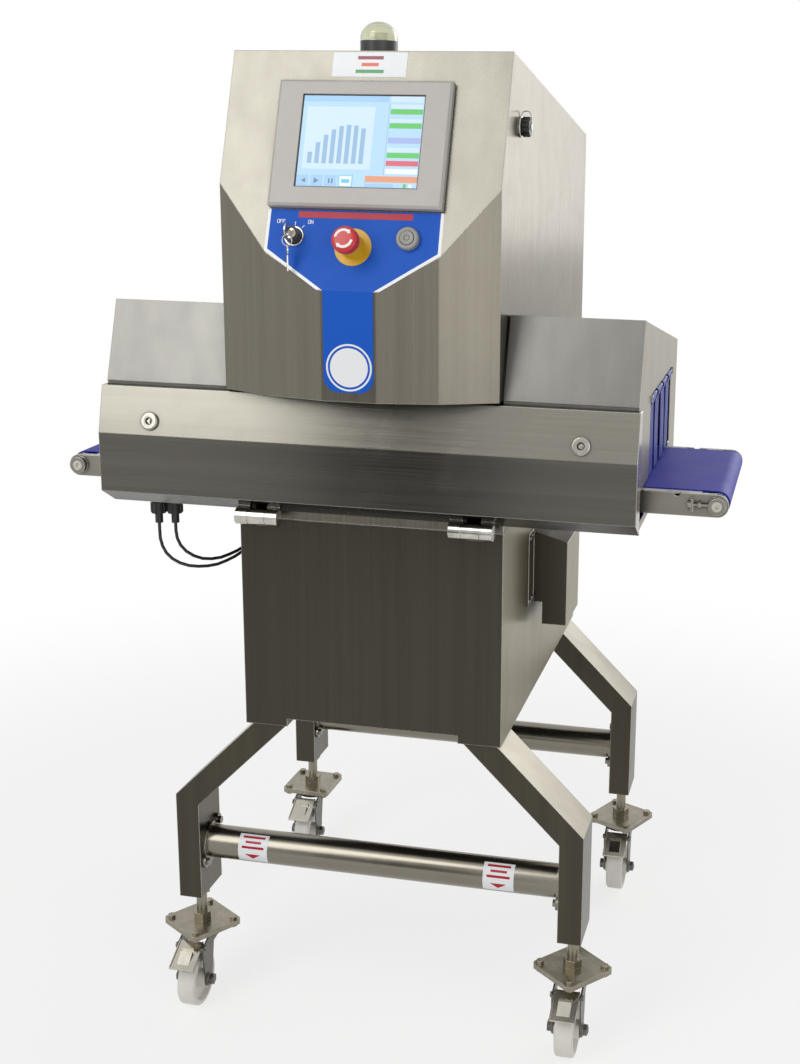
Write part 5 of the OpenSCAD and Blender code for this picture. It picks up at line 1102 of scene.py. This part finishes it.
# %% [markdown]
# The cover's two locks take a three-sided key. The shade inside each key hole is painted: each gets a thin black ring
# round its steel post. It turns with the lock.

# %% Painted shade in the key holes
LOCK_X, LOCK_Y, LOCK_Z, LOCK_TILT = 364, -8.1026, 1126.5, math.radians(14.3814)
LOCK_UP = (0, math.sin(LOCK_TILT), math.cos(LOCK_TILT))
LOCK_OUT = (0, -math.cos(LOCK_TILT), math.sin(LOCK_TILT))
for side, body in ((-1, "lock_left"), (1, "lock_right")):
    lock_place = on_axes((side * LOCK_X, LOCK_Y, LOCK_Z), X_WAY, LOCK_UP, LOCK_OUT)
    # A black ring inside the key hole, as painted shade.
    lining = turned("lock_lining", [(6.3, 1.15), (6.3, 4.9), (6.0, 4.9), (6.0, 1.4), (4.3, 1.4), (4.3, 1.15)],
                    lock_place, close=True)
    piece(body + "_lining", lining, port_black, body)
print("lock linings: 2")

# %% [markdown]
# ## The curtains
# Eight strips close the two product openings. Each is one piece of 2 mm vinyl that goes round the rod and is welded to
# itself below it. Real strips never hang dead straight: they bow a little and curl towards their edges. The shape comes
# from a middle line with a thickness, so the strip's cut length is the length of that line.

# %% Hanging strips
ROD_X, ROD_Z, STRIP_FIRST_Y, STRIP_PITCH, STRIP_W, STRIP_T, STRIP_LOW = 449.75, 1175.5, 168, 78.75, 50, 2.0, 1040.5
LOOP_R, WELD_DROP, END_GAP, DROP_STEPS, CURL_FROM, CURL_OVER = 4.5, 11, 0.5, 14, 14, 120
BOW, HOOK, CURL = 0.9, 1.1, 1.2
LANES = (0, 0.04, 0.25, 0.5, 0.75, 0.96, 1)


def strip_line(bow, hook):
    """The strip's middle line as (out, up) from the rod's middle."""
    line = [(1.05, -WELD_DROP), (1.3, -8.5), (2.4, -5.6)] + arc(0, 0, LOOP_R, -38, 218, 14)
    line += [(-2.4, -5.6), (-1.3, -8.5), (-1.0, -WELD_DROP)]
    drop = ROD_Z - STRIP_LOW - WELD_DROP - END_GAP
    for k in range(1, DROP_STEPS + 1):
        t = k / DROP_STEPS
        line.append((-1.0 + t + bow * math.sin(math.pi * t) + hook * t * t, -WELD_DROP - drop * t))
    return [Vector(p) for p in line]


def strip_mesh(name, side, y0, line, curl):
    """A sheet along the line, with its thickness and with its two long edges curled."""
    points, faces, n, rows = [], [], len(LANES), len(line)
    for i, point in enumerate(line):
        way = (line[min(i + 1, rows - 1)] - line[max(i - 1, 0)]).normalized()
        below = max(0, -point.y - CURL_FROM) / CURL_OVER
        for face_side in (-1, 1):
            for lane in LANES:
                shift = face_side * STRIP_T / 2 * (0.8 if lane in (0, 1) else 1.0)
                out = point.x + way.y * shift + curl * below * (2 * lane - 1) ** 2
                points.append(at(side * (ROD_X + out), y0 + STRIP_W * lane, ROD_Z + point.y - way.x * shift))
    for i in range(rows - 1):
        for j in range(n - 1):
            a, b = i * 2 * n + j, (i + 1) * 2 * n + j
            faces += [(a, a + 1, b + 1, b), (a + n, b + n, b + n + 1, a + n + 1)]
        for j in (0, n - 1):
            a, b = i * 2 * n + j, (i + 1) * 2 * n + j
            faces.append((a, b, b + n, a + n))
    for i in (0, rows - 1):
        for j in range(n - 1):
            a = i * 2 * n + j
            faces.append((a, a + 1, a + n + 1, a + n))
    return mesh(name, points, faces)


for side, label in ((-1, "in"), (1, "out")):
    for n in range(1, 5):
        bow, hook, curl = BOW * math.sin(2.1 * n + side), HOOK * math.cos(1.7 * n + side), CURL * math.sin(n * 1.3)
        line = strip_line(bow, hook)
        name = f"curtain_{label}_strip_{n}"
        sheet = strip_mesh(name, side, STRIP_FIRST_Y + STRIP_PITCH * (n - 1), line, curl)
        made = piece(name, sheet, curtain_blue, f"strip_{label}_{n}")
        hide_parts(f"curtain_{label}_{n}")

# %% [markdown]
# ## Plain labels on the lift tube
# Two white labels on the front lift tube show where a truck's forks go. They are bent round the tube. Here they only
# hold three plain bars and a triangle that points down.

# %% Bent labels
TUBE_Y, TUBE_Z, TUBE_R = 100, 314.5, 30.15


def bent(name, middle, half, low, high, first, last, pointed=False, steps=14):
    """A plate bent round the lift tube between two angles. A pointed one starts with no width."""
    points, faces = [], []
    for k in range(steps + 1):
        share = k / steps
        angle = first + (last - first) * share
        reach = half * share if pointed else half
        for x in (middle - reach, middle + reach):
            for lift in (low, high):
                out, up = polar(TUBE_R + lift, angle)
                points.append(at(x, TUBE_Y - out, TUBE_Z + up))
    for k in range(steps):
        a, b = 4 * k, 4 * (k + 1)
        faces += [(a, a + 2, b + 2, b), (a + 1, b + 1, b + 3, a + 3), (a, b, b + 1, a + 1),
                  (a + 2, a + 3, b + 3, b + 2)]
    faces += [(0, 1, 3, 2), (4 * steps, 4 * steps + 2, 4 * steps + 3, 4 * steps + 1)]
    return mesh(name, points, faces)


for name, middle in (("left", -238), ("right", 222)):
    parts = [(0, bent("sheet", middle, 28, 0.05, 0.25, -38, 66))]
    for half, first in ((21, 50), (15, 32), (21, 14)):
        parts.append((1, bent("bar", middle, half, 0.1, 0.34, first, first + 8)))
    parts.append((1, bent("tip", middle, 15, 0.1, 0.36, -24, -6, pointed=True)))
    piece(f"lift_label_{name}", joined("lift_label", parts), [label_white, label_red], "machine")
print("lift labels at", TUBE_Z, "mm above the floor")

# %% [markdown]
# The dressed machine has to stay inside the CAD model's box.
